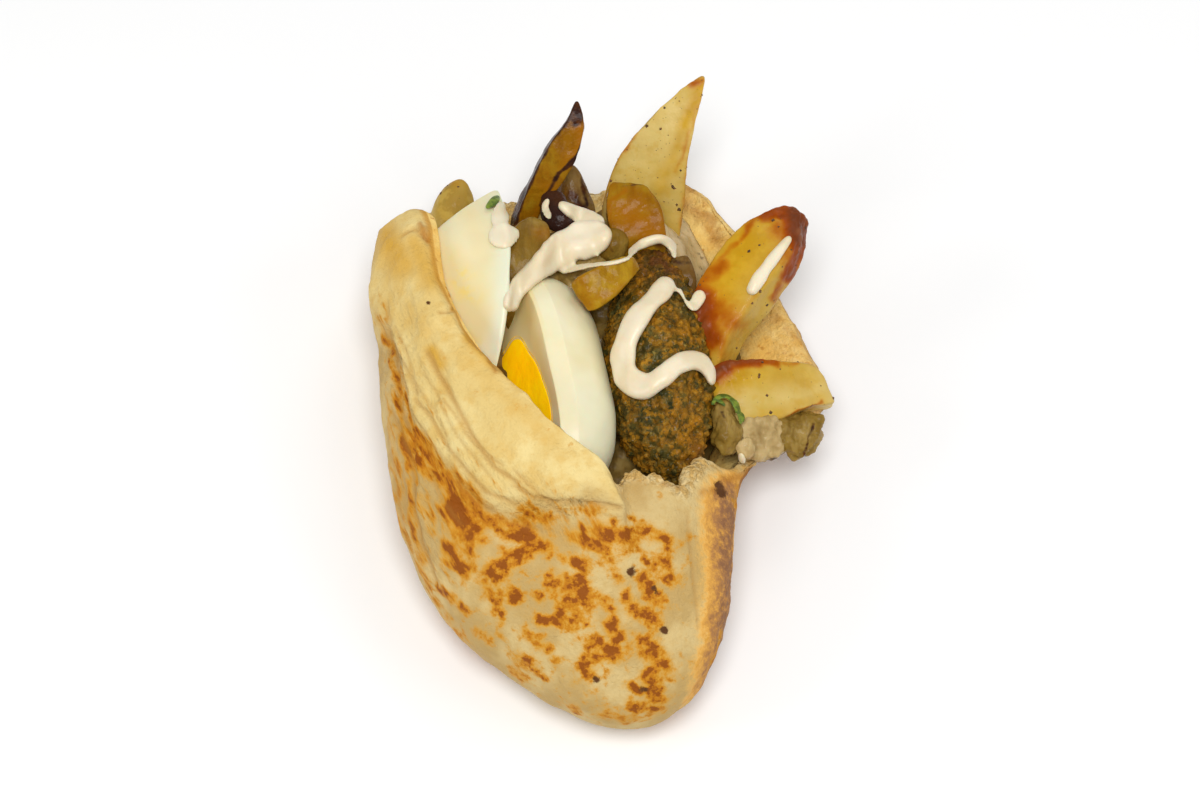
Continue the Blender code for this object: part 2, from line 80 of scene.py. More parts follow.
def spaced(values, at):
    # The smooth line through values spread evenly from 0 to 1
    return through(np.linspace(0, 1, len(values)), values, at)


def ease(low, high, at):
    # 0 at low, 1 at high, level at both: three times the square less twice the cube
    t = np.clip((at - low) / (high - low), 0, 1)
    return t * t * (3 - 2 * t)


def zone(rise, fall, at):
    # 0, then 1, then 0 again: rise and fall are where each slope starts and ends
    return ease(*rise, at) * (1 - ease(*fall, at))


def hump(middle, spread, at):
    # Bell curve: 1 at the middle, 0.37 at the spread to either side
    return np.exp(-(((at - middle) / spread) ** 2))


def unit(v):
    # Each vector over its own length
    return v / np.maximum(np.linalg.norm(v, axis=-1, keepdims=True), 1e-9)


chance = np.random.default_rng(11)
slants = unit(chance.normal(size=(4096, 3)))
draws = chance.random((4096, 4))
scatter = (73856093, 19349663, 83492791, 40503)     # large odd numbers that shuffle a cell's counts


def pick(cell, seed):
    # Row of the two tables above for a cell: its counts and the seed by the large numbers, combined bit by bit
    x, y, z = (cell[..., i] * scatter[i] for i in range(3))
    return (x ^ y ^ z ^ seed * scatter[3]) & (len(draws) - 1)


def waves(points, size, seed=0, shift=0.37, gain=1.7):
    # Random slopes at the corners of cells this wide, shared out across each cell: about -1 to 1
    p = points / size + shift
    cell = np.floor(p).astype(int)
    f = p - cell
    share = f**3 * (f * (f * 6 - 15) + 10)
    total = np.zeros(p.shape[:-1])
    for corner in np.ndindex(2, 2, 2):
        slant = slants[pick(cell + corner, seed)]
        total += (slant * (f - corner)).sum(-1) * np.where(corner, share, 1 - share).prod(-1)
    return total * gain


def rough(points, size, layers=3, seed=0):
    # Waves of halving size and height, added up
    return sum(waves(points, size / 2**i, seed + i) / 2**i for i in range(layers))


def bumpy(points, kinds):
    # Kinds of roughness added up, each (height in mm, size in mm, layers, seed)
    return sum(height * rough(points, size, layers, seed) for height, size, layers, seed in kinds)


usualLump = 0.55    # about the mean distance that lumps gives


def lumps(points, size, seed=0):
    # One scattered point in each cell: the distance to the nearest, in cells, and that point's own number
    p = points / size
    cell = np.floor(p).astype(int)
    nearest, own = np.full(p.shape[:-1], 9.0), np.zeros(p.shape[:-1])
    for step in np.ndindex(3, 3, 3):
        at = cell + np.array(step) - 1
        draw = draws[pick(at, seed)]
        away = np.linalg.norm(at + draw[..., :3] - p, axis=-1)
        own = np.where(away < nearest, draw[..., 3], own)
        nearest = np.minimum(nearest, away)
    return nearest, own


def pictured(points):
    # Pixel of a point in the photograph, focal length times offset over depth, and the depth along the sight
    away = points - eye
    depth = away @ forward
    x, y = middleX + focal * (away @ sideways) / depth, middleY - focal * (away @ upright) / depth
    return np.stack([x, y], -1), depth


def inSpace(pixels, depth):
    # Point at a pixel and a depth: the eye, and the line of sight times the depth
    x, y = (pixels[..., :1] - middleX) / focal, (middleY - pixels[..., 1:]) / focal
    return eye + (forward + sideways * x + upright * y) * depth[..., None]


def offLine(pixels, line):
    # Distance in pixels to a line of straight stretches
    nearest = np.full(pixels.shape[:-1], 1e9)
    for a, b in zip(np.array(line[:-1], float), np.array(line[1:], float)):
        t = np.clip(((pixels - a) @ (b - a)) / max(((b - a) ** 2).sum(), 1e-9), 0, 1)
        nearest = np.minimum(nearest, np.linalg.norm(pixels - a - t[..., None] * (b - a), axis=-1))
    return nearest


def marked(pixels, strokes, softness=1.12):
    # Strokes (x, y, to x, to y, radius, strength): a bell curve across each, a little under half at the radius
    amount = np.zeros(pixels.shape[:-1])
    for x, y, toX, toY, radius, strength in strokes:
        amount = np.maximum(amount, strength * hump(0, radius * softness, offLine(pixels, ((x, y), (toX, toY)))))
    return amount


def stirred(pixels, points, by, size, seed):
    # Pixels moved to both sides by two kinds of waves, so that strokes get uneven edges
    return pixels + by * np.stack([rough(points, size, 2, seed), rough(points, size, 2, seed + 1)], -1)


def normalsOf(points):
    # Across both directions of a closed grid, turned outwards; the ends take their neighbours' mean
    around = np.roll(points, -1, 1) - np.roll(points, 1, 1)
    across = np.cross(around, np.gradient(points, axis=0))
    out = unit(across * np.sign((across * points).sum()))
    out[0], out[-1] = unit(out[1].mean(0)), unit(out[-2].mean(0))
    return out


def grown(points, relief):
    # The grid moved out by relief, the same all round at each end so that it closes
    relief = relief.copy()
    relief[0], relief[-1] = relief[0].mean(), relief[-1].mean()
    return points + normalsOf(points) * relief[..., None]


def gridOf(rings, columns):
    # Part of the way from the first ring to the last, and degrees round, at each point of a closed grid
    return (np.linspace(0, 1, rings + 1)[:, None] * np.ones(columns),
            np.arange(columns) * 360 / columns * np.ones((rings + 1, 1)))


def carried(line, rings, columns, step):
    # A smooth line by its own length, its rings crowded at both ends: the length, and at each point of the grid
    # the part of the way, the angle round, the line's point and its direction, from a step to either side
    line = np.asarray(line, float)
    lengths = np.linalg.norm(np.diff(line, axis=0), axis=1)
    keys = np.concatenate([[0], np.cumsum(lengths)]) / lengths.sum()
    v, degrees = gridOf(rings, columns)
    k = (1 - np.cos(np.pi * v)) / 2
    behind, middle, ahead = (through(keys, line, np.clip(k + move, 0, 1)) for move in (-step, 0, step))
    return lengths.sum(), k, np.radians(degrees), middle, unit(ahead - behind)


def flatGrid(grid):
    # The grid's points in a row: the first ring's single point, the rings between, the last ring's single point
    return np.concatenate([grid[:1, 0], grid[1:-1].reshape((-1,) + grid.shape[2:]), grid[-1:, 0]])


def gridFaces(grid):
    # A fan at each end and four-cornered faces between, turned outwards: vertex numbers, and how many each has
    rings, columns = grid.shape[:2]
    column = np.arange(columns)
    after = (column + 1) % columns
    start = np.stack([np.zeros(columns, int), 1 + after, 1 + column], -1)
    last = 1 + (rings - 3) * columns
    end = np.stack([np.full(columns, last + columns), last + column, last + after], -1)
    ring = 1 + np.arange(rings - 3)[:, None] * columns
    middle = np.stack([ring + column, ring + after, ring + columns + after, ring + columns + column], -1)
    across = np.cross(grid - np.roll(grid, 1, 1), np.gradient(grid, axis=0))
    turn = -1 if (normalsOf(grid) * across)[1:-1].sum() < 0 else 1
    corners = np.concatenate([part[..., ::turn].ravel() for part in (start, middle, end)])
    return corners, np.repeat([3, 4, 3], [len(start), middle[..., 0].size, len(end)])


def meshOf(name, vertices, corners, sizes):
    # Vertices in sketch millimetres; corners are the faces' vertex numbers in a row, sizes how many each has
    mesh = bpy.data.meshes.new(name)
    mesh.vertices.add(len(vertices))
    mesh.vertices.foreach_set("co", ((vertices + toModel) * metre).astype(np.float32).ravel())
    mesh.loops.add(len(corners))
    mesh.loops.foreach_set("vertex_index", corners.astype(np.int32))
    mesh.polygons.add(len(sizes))
    starts = np.concatenate([[0], np.cumsum(sizes)[:-1]])
    mesh.polygons.foreach_set("loop_start", starts.astype(np.int32))
    mesh.update(calc_edges=True)
    mesh.validate()
    mesh.shade_smooth()
    return mesh


def place(mesh, look, replaces=()):
    # An object by the mesh's name, in the scene and on the one body
    piece = bpy.data.objects.new(mesh.name, mesh)
    scene.collection.objects.link(piece)
    mesh.materials.append(look)
    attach(piece, "root")
    if replaces:
        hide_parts(*replaces)
    return piece


shown = []    # every finished grid, for what is laid on top later


def makePiece(name, grids, look, replaces=(), marks=None):
    # One mesh of closed grids, each with a single point for its first and its last ring. Marks are the amounts at
    # the points, by name, that the look reads; a piece with marks is one grid
    faces, vertices = [gridFaces(grid) for grid in grids], [flatGrid(grid) for grid in grids]
    before = np.cumsum([0] + [len(row) for row in vertices[:-1]])
    corners = np.concatenate([numbers + count for (numbers, _), count in zip(faces, before)])
    mesh = meshOf(name, np.concatenate(vertices), corners, np.concatenate([sizes for _, sizes in faces]))
    for label, amount in (marks or {}).items():
        data = mesh.attributes.new(label, "FLOAT", "POINT").data
        data.foreach_set("value", flatGrid(amount).astype(np.float32))
    shown.extend(grids)
    return place(mesh, look, replaces)


def node(tree, kind, inputs=None, **settings):
    # A node with these settings; inputs are sockets to link or values to set, by the name or number of its sockets
    made = tree.nodes.new(kind)
    for key, value in settings.items():
        setattr(made, key, value)
    for key, value in (inputs or {}).items():
        socket = made.inputs[key]
        if isinstance(value, bpy.types.NodeSocket):
            tree.links.new(value, socket)
        else:
            socket.default_value = (*value, 1) if socket.type == "RGBA" else value
    return made


def newGroup(name, inputs, outputs):
    # An empty shader group: inputs are (name, kind, value or None), outputs are names of numbers
    tree = bpy.data.node_groups.new(name, "ShaderNodeTree")
    for label, kind, value in inputs:
        socket = tree.interface.new_socket(label, in_out="INPUT", socket_type="NodeSocket" + kind)
        if value is not None:
            socket.default_value = value
    for label in outputs:
        tree.interface.new_socket(label, in_out="OUTPUT", socket_type="NodeSocketFloat")
    return tree, tree.nodes.new("NodeGroupInput").outputs, tree.nodes.new("NodeGroupOutput").inputs


def noise(tree, at, scale, detail, roughness=0.5):
    # Blender's noise, about 0.3 to 0.7 round a half
    return node(tree, "ShaderNodeTexNoise", {
        "Vector": at, "Scale": scale, "Detail": detail, "Roughness": roughness}).outputs["Fac"]


def fade(tree, value, low, high, most=1.0):
    # 0 at low, most at high, level at both
    return node(tree, "ShaderNodeMapRange", {"Value": value, "From Min": low, "From Max": high, "To Max": most},
                interpolation_type="SMOOTHSTEP").outputs[0]


def between(tree, share, a, b):
    # Number a where share is 0, b where it is 1
    return node(tree, "ShaderNodeMix", {"Factor": share, "A": a, "B": b}, data_type="FLOAT").outputs["Result"]


# Patches: soft-edged blotches of noise, 0 under Low and 1 over High
patches, given, gives = newGroup("patches", (
    ("Place", "Vector", None), ("Scale", "Float", 100.0), ("Detail", "Float", 3.0),
    ("Low", "Float", 0.45), ("High", "Float", 0.6)), ("Mask",))
clouds = noise(patches, given["Place"], given["Scale"], given["Detail"], 0.6)
patches.links.new(fade(patches, clouds, given["Low"], given["High"]), gives["Mask"])

# Grit: height of a surface with coarse and fine grain
grit, given, gives = newGroup("grit", (
    ("Place", "Vector", None), ("Coarse", "Float", 300.0), ("Fine", "Float", 1500.0),
    ("Fine Share", "Float", 0.4)), ("Height",))
coarse, fine = noise(grit, given["Place"], given["Coarse"], 3.0), noise(grit, given["Place"], given["Fine"], 2.0)
grit.links.new(between(grit, given["Fine Share"], coarse, fine), gives["Height"])


def newLook(name, plain):
    # A material with its own shader; plain are the shader's fixed values, by socket name without blanks
    look = bpy.data.materials.new(name)
    look.use_nodes = True
    tree = look.node_tree
    shader = tree.nodes["Principled BSDF"]
    sockets = {socket.name.replace(" ", ""): socket for socket in shader.inputs}
    for key, value in plain.items():
        sockets[key].default_value = value
    return look, tree, shader, node(tree, "ShaderNodeTexCoord").outputs["Object"]


def blotches(tree, at, scale, low, high, detail=3.0):
    # The patches group with these values
    values = {"Place": at, "Scale": scale, "Low": low, "High": high, "Detail": detail}
    return node(tree, "ShaderNodeGroup", values, node_tree=patches).outputs["Mask"]


def mark(tree, name):
    # The amount stored at the mesh's points under this name
    return node(tree, "ShaderNodeAttribute", attribute_name=name).outputs["Fac"]


def calc(tree, operation, a, b=0.0, c=0.0, clamp=False):
    # One step of arithmetic
    return node(tree, "ShaderNodeMath", {0: a, 1: b, 2: c}, operation=operation, use_clamp=clamp).outputs[0]


def times(tree, a, b):
    # a times b
    return calc(tree, "MULTIPLY", a, b)


def blend(tree, amount, a, b):
    # Colour a where amount is 0, b where it is 1
    return node(tree, "ShaderNodeMix", {0: amount, 6: a, 7: b}, data_type="RGBA").outputs[2]


def ramp(tree, amount, stops):
    # Colour by amount: stops are (amount, colour)
    made = node(tree, "ShaderNodeValToRGB", {"Fac": amount})
    elements = made.color_ramp.elements
    while len(elements) < len(stops):
        elements.new(0.5)
    for element, (at, colour) in zip(elements, stops):
        element.position, element.color = at, (*colour, 1)
    return made.outputs["Color"]


def tone(tree, at, colour):
    # A plain colour as it is; (blotches, a, b) as colour a with blotches of b
    return blend(tree, blotches(tree, at, *colour[0]), *colour[1:]) if isinstance(colour[0], tuple) else colour


def layered(tree, at, base, layers):
    # Tones laid over base one after the other, each (mark or None, blotches or None, share, tone): the three
    # amounts multiplied say how much of it is laid on
    for name, patch, share, colour in layers:
        amount = times(tree, blotches(tree, at, *patch), share) if patch else share
        amount = times(tree, mark(tree, name), amount) if name else amount
        base = blend(tree, amount, base, tone(tree, at, colour))
    return base


def bumped(tree, shader, at, grain, more=None):
    # Normal from grit, with more height added: grain is coarse and fine scale, fine share, strength, metres
    *scales, strength, distance = grain
    values = dict(zip(("Coarse", "Fine", "Fine Share"), scales), Place=at)
    height = node(tree, "ShaderNodeGroup", values, node_tree=grit).outputs["Height"]
    if more is not None:
        height = calc(tree, "ADD", height, more)
    bump = node(tree, "ShaderNodeBump", {"Height": height, "Strength": strength, "Distance": distance})
    tree.links.new(bump.outputs["Normal"], shader.inputs["Normal"])


crust = dict(
    plain=dict(Roughness=0.62, SpecularIORLevel=0.12),
    base=((55, 0.4, 0.62), (0.54, 0.36, 0.130), (0.67, 0.495, 0.215)),
    flecks=((None, (420, 0.45, 0.7), 0.3, (0.54, 0.33, 0.09)),),
    lip=((75, 0.4, 0.62, 4), (0.76, 0.56, 0.21), (0.83, 0.655, 0.285)),
    lipFlecks=(("golden", None, 1, (0.68, 0.385, 0.055)), (None, (170, 0.45, 0.66, 4), 0.55, (0.70, 0.44, 0.11))),
    # the torn side by depth of colour: cream where it starts, orange, then a pinkish brown
    side=((0.12, (0.96, 0.55, 0.13)), (0.36, (0.72, 0.36, 0.070)), (0.60, (0.49, 0.230, 0.068)),
          (0.92, (0.30, 0.140, 0.062))),
    speckle=(520, 5.0, 0.7), sideGrain=2.6, sideFade=(0.04, 0.3),
    sidePatch=(120, 0.3, 0.7, 4), sideCloud=(0.4, 0.8),
    freckles=(350, 5.0, 0.62), streaks=(400, 3.0, 0.55),        # noise scale, detail, roughness
    streakTurn=-64, streakStretch=(3.2, 0.8, 1.0),              # the streaks follow the wrinkles
    halo=(0.66, 0.34, 0.045), haloBreak=1.2, haloFade=(0.10, 0.85, 0.9),
    toast=((0.35, (0.64, 0.30, 0.028)), (0.65, (0.60, 0.250, 0.012)), (0.88, (0.49, 0.170, 0.008)),
           (1.0, (0.29, 0.080, 0.006))),
    toastBreak=2.7, toastShare=0.93, toastFade=(0.26, 0.80),
    # brown along the furrows, partly the crust's own browning in its creases and partly painted shade in them;
    # then the brown line along the rim
    lines=(("furrow", None, 0.55, (0.42, 0.19, 0.03)), ("rimLine", None, 1, (0.60, 0.28, 0.03))),
    inside=((90, 0.4, 0.62), (0.84, 0.50, 0.115), (0.93, 0.66, 0.22)),
    insideFlecks=((None, (330, 0.58, 0.68, 4), 0.75, (0.58, 0.25, 0.035)),),
    last=(("crumb", None, 1, ((420, 0.4, 0.6), (0.84, 0.64, 0.31), (0.70, 0.44, 0.14))),
          ("scorch", None, 0.9, (0.42, 0.15, 0.012))),
    char=(0.11, 0.042, 0.012), charBreak=1.6, charFade=(0.35, 0.75),
    grain=(260, 1300, 0.4, 0.8, 0.0011), creases=1.6, pores=(700, 0.35, 0.7),
)


def breadLook():
    # Baked crust: lip, torn side, toast with a golden halo, inside, crumb and burnt spots, one over the other
    look, tree, shader, at = newLook("bakedBread", crust["plain"])
    base = layered(tree, at, tone(tree, at, crust["base"]), crust["flecks"])
    lipTone = layered(tree, at, tone(tree, at, crust["lip"]), crust["lipFlecks"])
    base = blend(tree, mark(tree, "band"), base, lipTone)
    wrinkled, toast, sideMark = (mark(tree, name) for name in ("wrinkled", "toast", "side"))
    speckle = noise(tree, at, *crust["speckle"])
    speckled = calc(tree, "SUBTRACT", speckle, 0.5)
    cloudy = calc(tree, "MULTIPLY_ADD", blotches(tree, at, *crust["sidePatch"]), *crust["sideCloud"])
    side = times(tree, sideMark, calc(tree, "MULTIPLY_ADD", speckled, crust["sideGrain"], cloudy))
    base = blend(tree, fade(tree, side, *crust["sideFade"]), base, ramp(tree, side, crust["side"]))
    # Toast is broken up by round freckles, and by streaks along the wrinkles where the bread is creased
    turned = node(tree, "ShaderNodeMapping", {
        "Vector": at, "Rotation": (0, 0, math.radians(crust["streakTurn"])), "Scale": crust["streakStretch"]},
        vector_type="TEXTURE").outputs[0]
    streaks = noise(tree, turned, *crust["streaks"])
    broken = between(tree, wrinkled, noise(tree, at, *crust["freckles"]), streaks)
    broken = calc(tree, "SUBTRACT", broken, 0.5)
    halo = calc(tree, "MULTIPLY_ADD", broken, crust["haloBreak"], toast)
    base = blend(tree, fade(tree, halo, *crust["haloFade"]), base, crust["halo"])
    brown = calc(tree, "MULTIPLY_ADD", broken, crust["toastBreak"], times(tree, toast, crust["toastShare"]))
    base = blend(tree, fade(tree, brown, *crust["toastFade"]), base, ramp(tree, brown, crust["toast"]))
    base = layered(tree, at, base, crust["lines"])
    inside = layered(tree, at, tone(tree, at, crust["inside"]), crust["insideFlecks"])
    base = layered(tree, at, blend(tree, mark(tree, "inside"), base, inside), crust["last"])
    black = calc(tree, "MULTIPLY_ADD", speckled, crust["charBreak"], mark(tree, "char"))
    base = blend(tree, fade(tree, black, *crust["charFade"]), base, crust["char"])
    tree.links.new(base, shader.inputs["Base Color"])
    creases = times(tree, times(tree, wrinkled, streaks), crust["creases"])
    pores = times(tree, mark(tree, "crumb"), blotches(tree, at, *crust["pores"]))
    more = calc(tree, "ADD", creases, calc(tree, "ADD", pores, times(tree, sideMark, speckle)))
    bumped(tree, shader, at, crust["grain"], more)
    return look


# Looks of one tone with layers over it: the shader's fixed values, base tone, layers and grain
layeredLooks = dict(
    boiledEggWhite=dict(
        plain=dict(Roughness=0.3, SubsurfaceWeight=0.25, SubsurfaceScale=0.004, SpecularIORLevel=0.3),
        base=((45, 0.38, 0.62), (0.81, 0.735, 0.445), (0.86, 0.795, 0.53)),
        # warm: a beige, which on the cut egg's face beside the yolk is painted shade; cool: a whiter, bluish tint
        # that is painted light; smear: a yellow smear
        layers=(("warm", None, 1, (0.84, 0.66, 0.29)), ("coolPaintedLight", None, 1, (0.80, 0.81, 0.62)),
                ("smear", (160, 0.4, 0.6), 1, (0.90, 0.70, 0.14))),
        grain=(120, 900, 0.3, 0.18, 0.0006)),
    boiledYolk=dict(
        # painted light: the yolk glows by its emission, fed with its own tone, so that its shaded cut face looks
        # lit
        plain=dict(Roughness=0.55, SubsurfaceWeight=0.12, SubsurfaceScale=0.003, SpecularIORLevel=0.08,
                   EmissionStrength=0.3),
        base=((80, 0.4, 0.62), (1.0, 0.56, 0.001), (1.0, 0.63, 0.002)),
        layers=((None, (700, 0.5, 0.7), 0.25, (0.98, 0.46, 0.001)),), grain=(400, 2000, 0.5, 0.35, 0.0005),
        feeds=("Base Color", "Emission Color")),
    whiteSauce=dict(
        plain=dict(Roughness=0.32, SpecularIORLevel=0.4, SubsurfaceWeight=0.2, SubsurfaceScale=0.003),
        base=((70, 0.38, 0.62), (0.80, 0.68, 0.45), (0.85, 0.75, 0.55)),
        layers=((None, (600, 0.6, 0.7), 0.25, (0.78, 0.64, 0.40)),), grain=(150, 1200, 0.25, 0.2, 0.0005)),
    greenHerb=dict(
        plain=dict(Roughness=0.45), base=((600, 0.4, 0.6), (0.065, 0.115, 0.006), (0.19, 0.27, 0.018)),
        layers=(), grain=(800, 2500, 0.4, 0.4, 0.0004)),
    groundPepper=dict(
        plain=dict(Roughness=0.7), base=((1200, 0.4, 0.6), (0.045, 0.020, 0.008), (0.22, 0.10, 0.03)),
        layers=(), grain=(1500, 4000, 0.4, 0.4, 0.0003)),
    paleFloor=dict(
        plain=dict(Roughness=0.8, SpecularIORLevel=0.1),
        base=((3, 0.3, 0.7), (0.97, 0.97, 0.97), (0.98, 0.98, 0.975)), layers=()),
)


def layeredLook(name):
    # The base tone, then its layers in turn; with a grain, the bump of it
    finish = layeredLooks[name]
    look, tree, shader, at = newLook(name, finish["plain"])
    base = layered(tree, at, tone(tree, at, finish["base"]), finish["layers"])
    # the yolk's tone also goes to its Emission Color: a painted glow
    for socket in finish.get("feeds", ("Base Color",)):
        tree.links.new(base, shader.inputs[socket])
    if finish.get("grain"):
        bumped(tree, shader, at, finish["grain"])
    return look


fried = dict(
    plain=dict(Roughness=0.5, SpecularIORLevel=0.06, CoatWeight=0.12, CoatRoughness=0.08),
    # colours of the crumbs by their own number, brown and green
    brown=((0.0, (0.040, 0.036, 0.006)), (0.25, (0.110, 0.068, 0.006)), (0.5, (0.19, 0.095, 0.005)),
           (0.75, (0.33, 0.130, 0.005)), (1.0, (0.50, 0.225, 0.012))),
    green=((0.0, (0.030, 0.034, 0.012)), (0.5, (0.085, 0.082, 0.022)), (1.0, (0.20, 0.165, 0.040))),
    mossyShare=0.8, mossyPatch=(95, 0.47, 0.6, 4), patchShare=0.55, greenBreak=(420, 0.4, 0.58), greenLeast=0.25,
    layers=(("golden", (300, 0.42, 0.58), 1, (0.40, 0.165, 0.008)),
            (None, (480, 0.54, 0.62), 0.75, (0.42, 0.19, 0.010)),
            (None, (900, 0.56, 0.64), 0.7, (0.040, 0.042, 0.012)),
            (None, (650, 0.62, 0.68), 0.55, (0.42, 0.30, 0.07)),
            ("scorched", None, 1, (0.150, 0.048, 0.010))),
    # gap: painted shade laid in the low gaps between the lumps, by gapFrom less how raised a point is
    gap=(0.026, 0.018, 0.004), gapFrom=0.74, gapGain=1.5, gloss=((350, 0.4, 0.6), 0.3, 0.33),
    grain=(700, 2600, 0.45, 1.0, 0.001),
)


def falafelLook():
    # Fried crumbs, green where it is mossy, with finer bits over them, and painted shade in the gaps between the
    # lumps
    look, tree, shader, at = newLook("friedFalafel", fried["plain"])
    own = mark(tree, "own")
    mossy = times(tree, blotches(tree, at, *fried["mossyPatch"]), fried["patchShare"])
    mossy = calc(tree, "MULTIPLY_ADD", mark(tree, "mossy"), fried["mossyShare"], mossy, clamp=True)
    bits = calc(tree, "ADD", blotches(tree, at, *fried["greenBreak"]), fried["greenLeast"], clamp=True)
    base = blend(tree, times(tree, mossy, bits), ramp(tree, own, fried["brown"]), ramp(tree, own, fried["green"]))
    base = layered(tree, at, base, fried["layers"])
    # painted shade in the low gaps between the lumps
    gap = calc(tree, "SUBTRACT", fried["gapFrom"], mark(tree, "raised"), clamp=True)
    base = blend(tree, times(tree, gap, fried["gapGain"]), base, fried["gap"])
    tree.links.new(base, shader.inputs["Base Color"])
    patch, *change = fried["gloss"]
    gloss = calc(tree, "MULTIPLY_ADD", blotches(tree, at, *patch), *change)
    tree.links.new(gloss, shader.inputs["Roughness"])
    bumped(tree, shader, at, fried["grain"])
    return look


roasted = dict(
    plain=dict(Roughness=0.34, SpecularIORLevel=0.05, SubsurfaceWeight=0.05, SubsurfaceScale=0.003,
               CoatWeight=0.05, CoatRoughness=0.04),
    base=((55, 0.38, 0.62), (0.57, 0.39, 0.080), (0.66, 0.485, 0.155)),
    layers=((None, (300, 0.48, 0.66), 0.4, (0.58, 0.35, 0.045)),
            ("golden", None, 1, ((130, 0.4, 0.6), (0.50, 0.265, 0.009), (0.58, 0.33, 0.018)))),
    # olive: a darker olive tone, painted shade where a potato lies in shade, broken up by blotches
    olive=(0.34, 0.205, 0.035), oliveBreak=(210, 0.38, 0.62), oliveLeast=0.45,
    crust=((0.1, (0.58, 0.28, 0.004)), (0.38, (0.45, 0.125, 0.001)), (0.68, (0.30, 0.052, 0.001)),
           (1.0, (0.16, 0.040, 0.012))),
    crustNoise=(200, 5.0), crustBreak=0.55, crustFade=(0.04, 0.60),
    blisters=(("blister", None, 0.35, (0.36, 0.15, 0.07)),), grain=(220, 1400, 0.3, 0.35, 0.0006),
)


def potatoLook():
    # Pale flesh, golden where marked and a darker olive painted shade where marked, then the browned crust by its
    # depth of colour, then blisters
    look, tree, shader, at = newLook("roastPotato", roasted["plain"])
    base = layered(tree, at, tone(tree, at, roasted["base"]), roasted["layers"])
    olive = calc(tree, "ADD", blotches(tree, at, *roasted["oliveBreak"]), roasted["oliveLeast"], clamp=True)
    base = blend(tree, times(tree, mark(tree, "olive"), olive), base, roasted["olive"])
    broken = calc(tree, "SUBTRACT", noise(tree, at, *roasted["crustNoise"]), 0.5)
    brown = calc(tree, "MULTIPLY_ADD", broken, roasted["crustBreak"], mark(tree, "crust"))
    base = blend(tree, fade(tree, brown, *roasted["crustFade"]), base, ramp(tree, brown, roasted["crust"]))
    base = layered(tree, at, base, roasted["blisters"])
    tree.links.new(base, shader.inputs["Base Color"])
    bumped(tree, shader, at, roasted["grain"])
    return look


softFlesh = dict(
    plain=dict(SpecularIORLevel=0.06, SubsurfaceWeight=0.04, SubsurfaceScale=0.003, CoatWeight=0.07,
               CoatRoughness=0.04),
    patch=(110, 0.38, 0.62), strings=(420, 0.45, 0.65), stringShare=0.45, stringTurn=(0.3, 0.2, 0.9),
    stringStretch=(1, 0.3, 1), amber=(("amber", None, 1, (0.33, 0.115, 0.002)),),
    skin=((200, 0.4, 0.6), (0.090, 0.028, 0.006), (0.032, 0.012, 0.008)),
    peelBreak=(260, 0.35, 0.65), peelShare=0.25, peelFade=(0.35, 0.75), grain=(300, 1300, 0.3, 0.6, 0.0009),
)
aubergineTones = dict(
    # pale and deep flesh, its dark strings, roughness
    friedAubergine=((0.33, 0.185, 0.008), (0.28, 0.115, 0.003), (0.16, 0.055, 0.002), 0.24),
    softAubergine=((0.30, 0.185, 0.032), (0.22, 0.12, 0.014), (0.12, 0.065, 0.008), 0.26),
    yellowAubergine=((0.42, 0.240, 0.012), (0.34, 0.165, 0.006), (0.22, 0.095, 0.003), 0.26),
    greyAubergine=((0.36, 0.235, 0.060), (0.25, 0.150, 0.024), (0.14, 0.075, 0.012), 0.20),
    brownAubergine=((0.24, 0.14, 0.040), (0.17, 0.085, 0.018), (0.09, 0.04, 0.008), 0.22),
    paleAubergine=((0.60, 0.44, 0.20), (0.46, 0.32, 0.13), (0.32, 0.20, 0.06), 0.24),
    aubergineSkin=((0.035, 0.014, 0.010), (0.06, 0.022, 0.010), (0.02, 0.01, 0.008), 0.17),
)


def aubergineLook(name):
    # Flesh with darker strings along it, amber where it is fried, dark skin where it is marked as peel
    pale, deep, dark, roughness = aubergineTones[name]
    look, tree, shader, at = newLook(name, dict(softFlesh["plain"], Roughness=roughness))
    turned = node(tree, "ShaderNodeMapping", {
        "Vector": at, "Rotation": softFlesh["stringTurn"], "Scale": softFlesh["stringStretch"]}).outputs[0]
    base = tone(tree, at, (softFlesh["patch"], pale, deep))
    base = layered(tree, turned, base, ((None, softFlesh["strings"], softFlesh["stringShare"], dark),))
    base = layered(tree, at, base, softFlesh["amber"])
    peel = blotches(tree, at, *softFlesh["peelBreak"])
    peel = calc(tree, "MULTIPLY_ADD", peel, softFlesh["peelShare"], mark(tree, "peel"))
    base = blend(tree, fade(tree, peel, *softFlesh["peelFade"]), base, tone(tree, at, softFlesh["skin"]))
    tree.links.new(base, shader.inputs["Base Color"])
    bumped(tree, shader, at, softFlesh["grain"])
    return look


mashed = dict(
    plain=dict(Roughness=0.36, SpecularIORLevel=0.15, SubsurfaceWeight=0.05, SubsurfaceScale=0.003,
               CoatWeight=0.08, CoatRoughness=0.1),
    bits=((0.0, (0.12, 0.065, 0.012)), (0.35, (0.25, 0.15, 0.03)), (0.7, (0.40, 0.26, 0.07)),
          (1.0, (0.54, 0.39, 0.15))),
    bitFlecks=((None, (260, 0.45, 0.62), 0.55, (0.16, 0.095, 0.02)),),
    pale=((90, 0.4, 0.62), (0.54, 0.38, 0.16), (0.68, 0.51, 0.26)),
    paleFlecks=((None, (300, 0.5, 0.66), 0.4, (0.44, 0.30, 0.12)),),
    # last: dark flecks, then painted shade, near black, where the mark deep says the mash lies low between the
    # pieces
    last=((None, (600, 0.64, 0.69), 0.6, (0.12, 0.08, 0.03)), ("deep", None, 1, (0.055, 0.034, 0.013))),
    grain=(350, 1500, 0.35, 0.5, 0.0006),
)


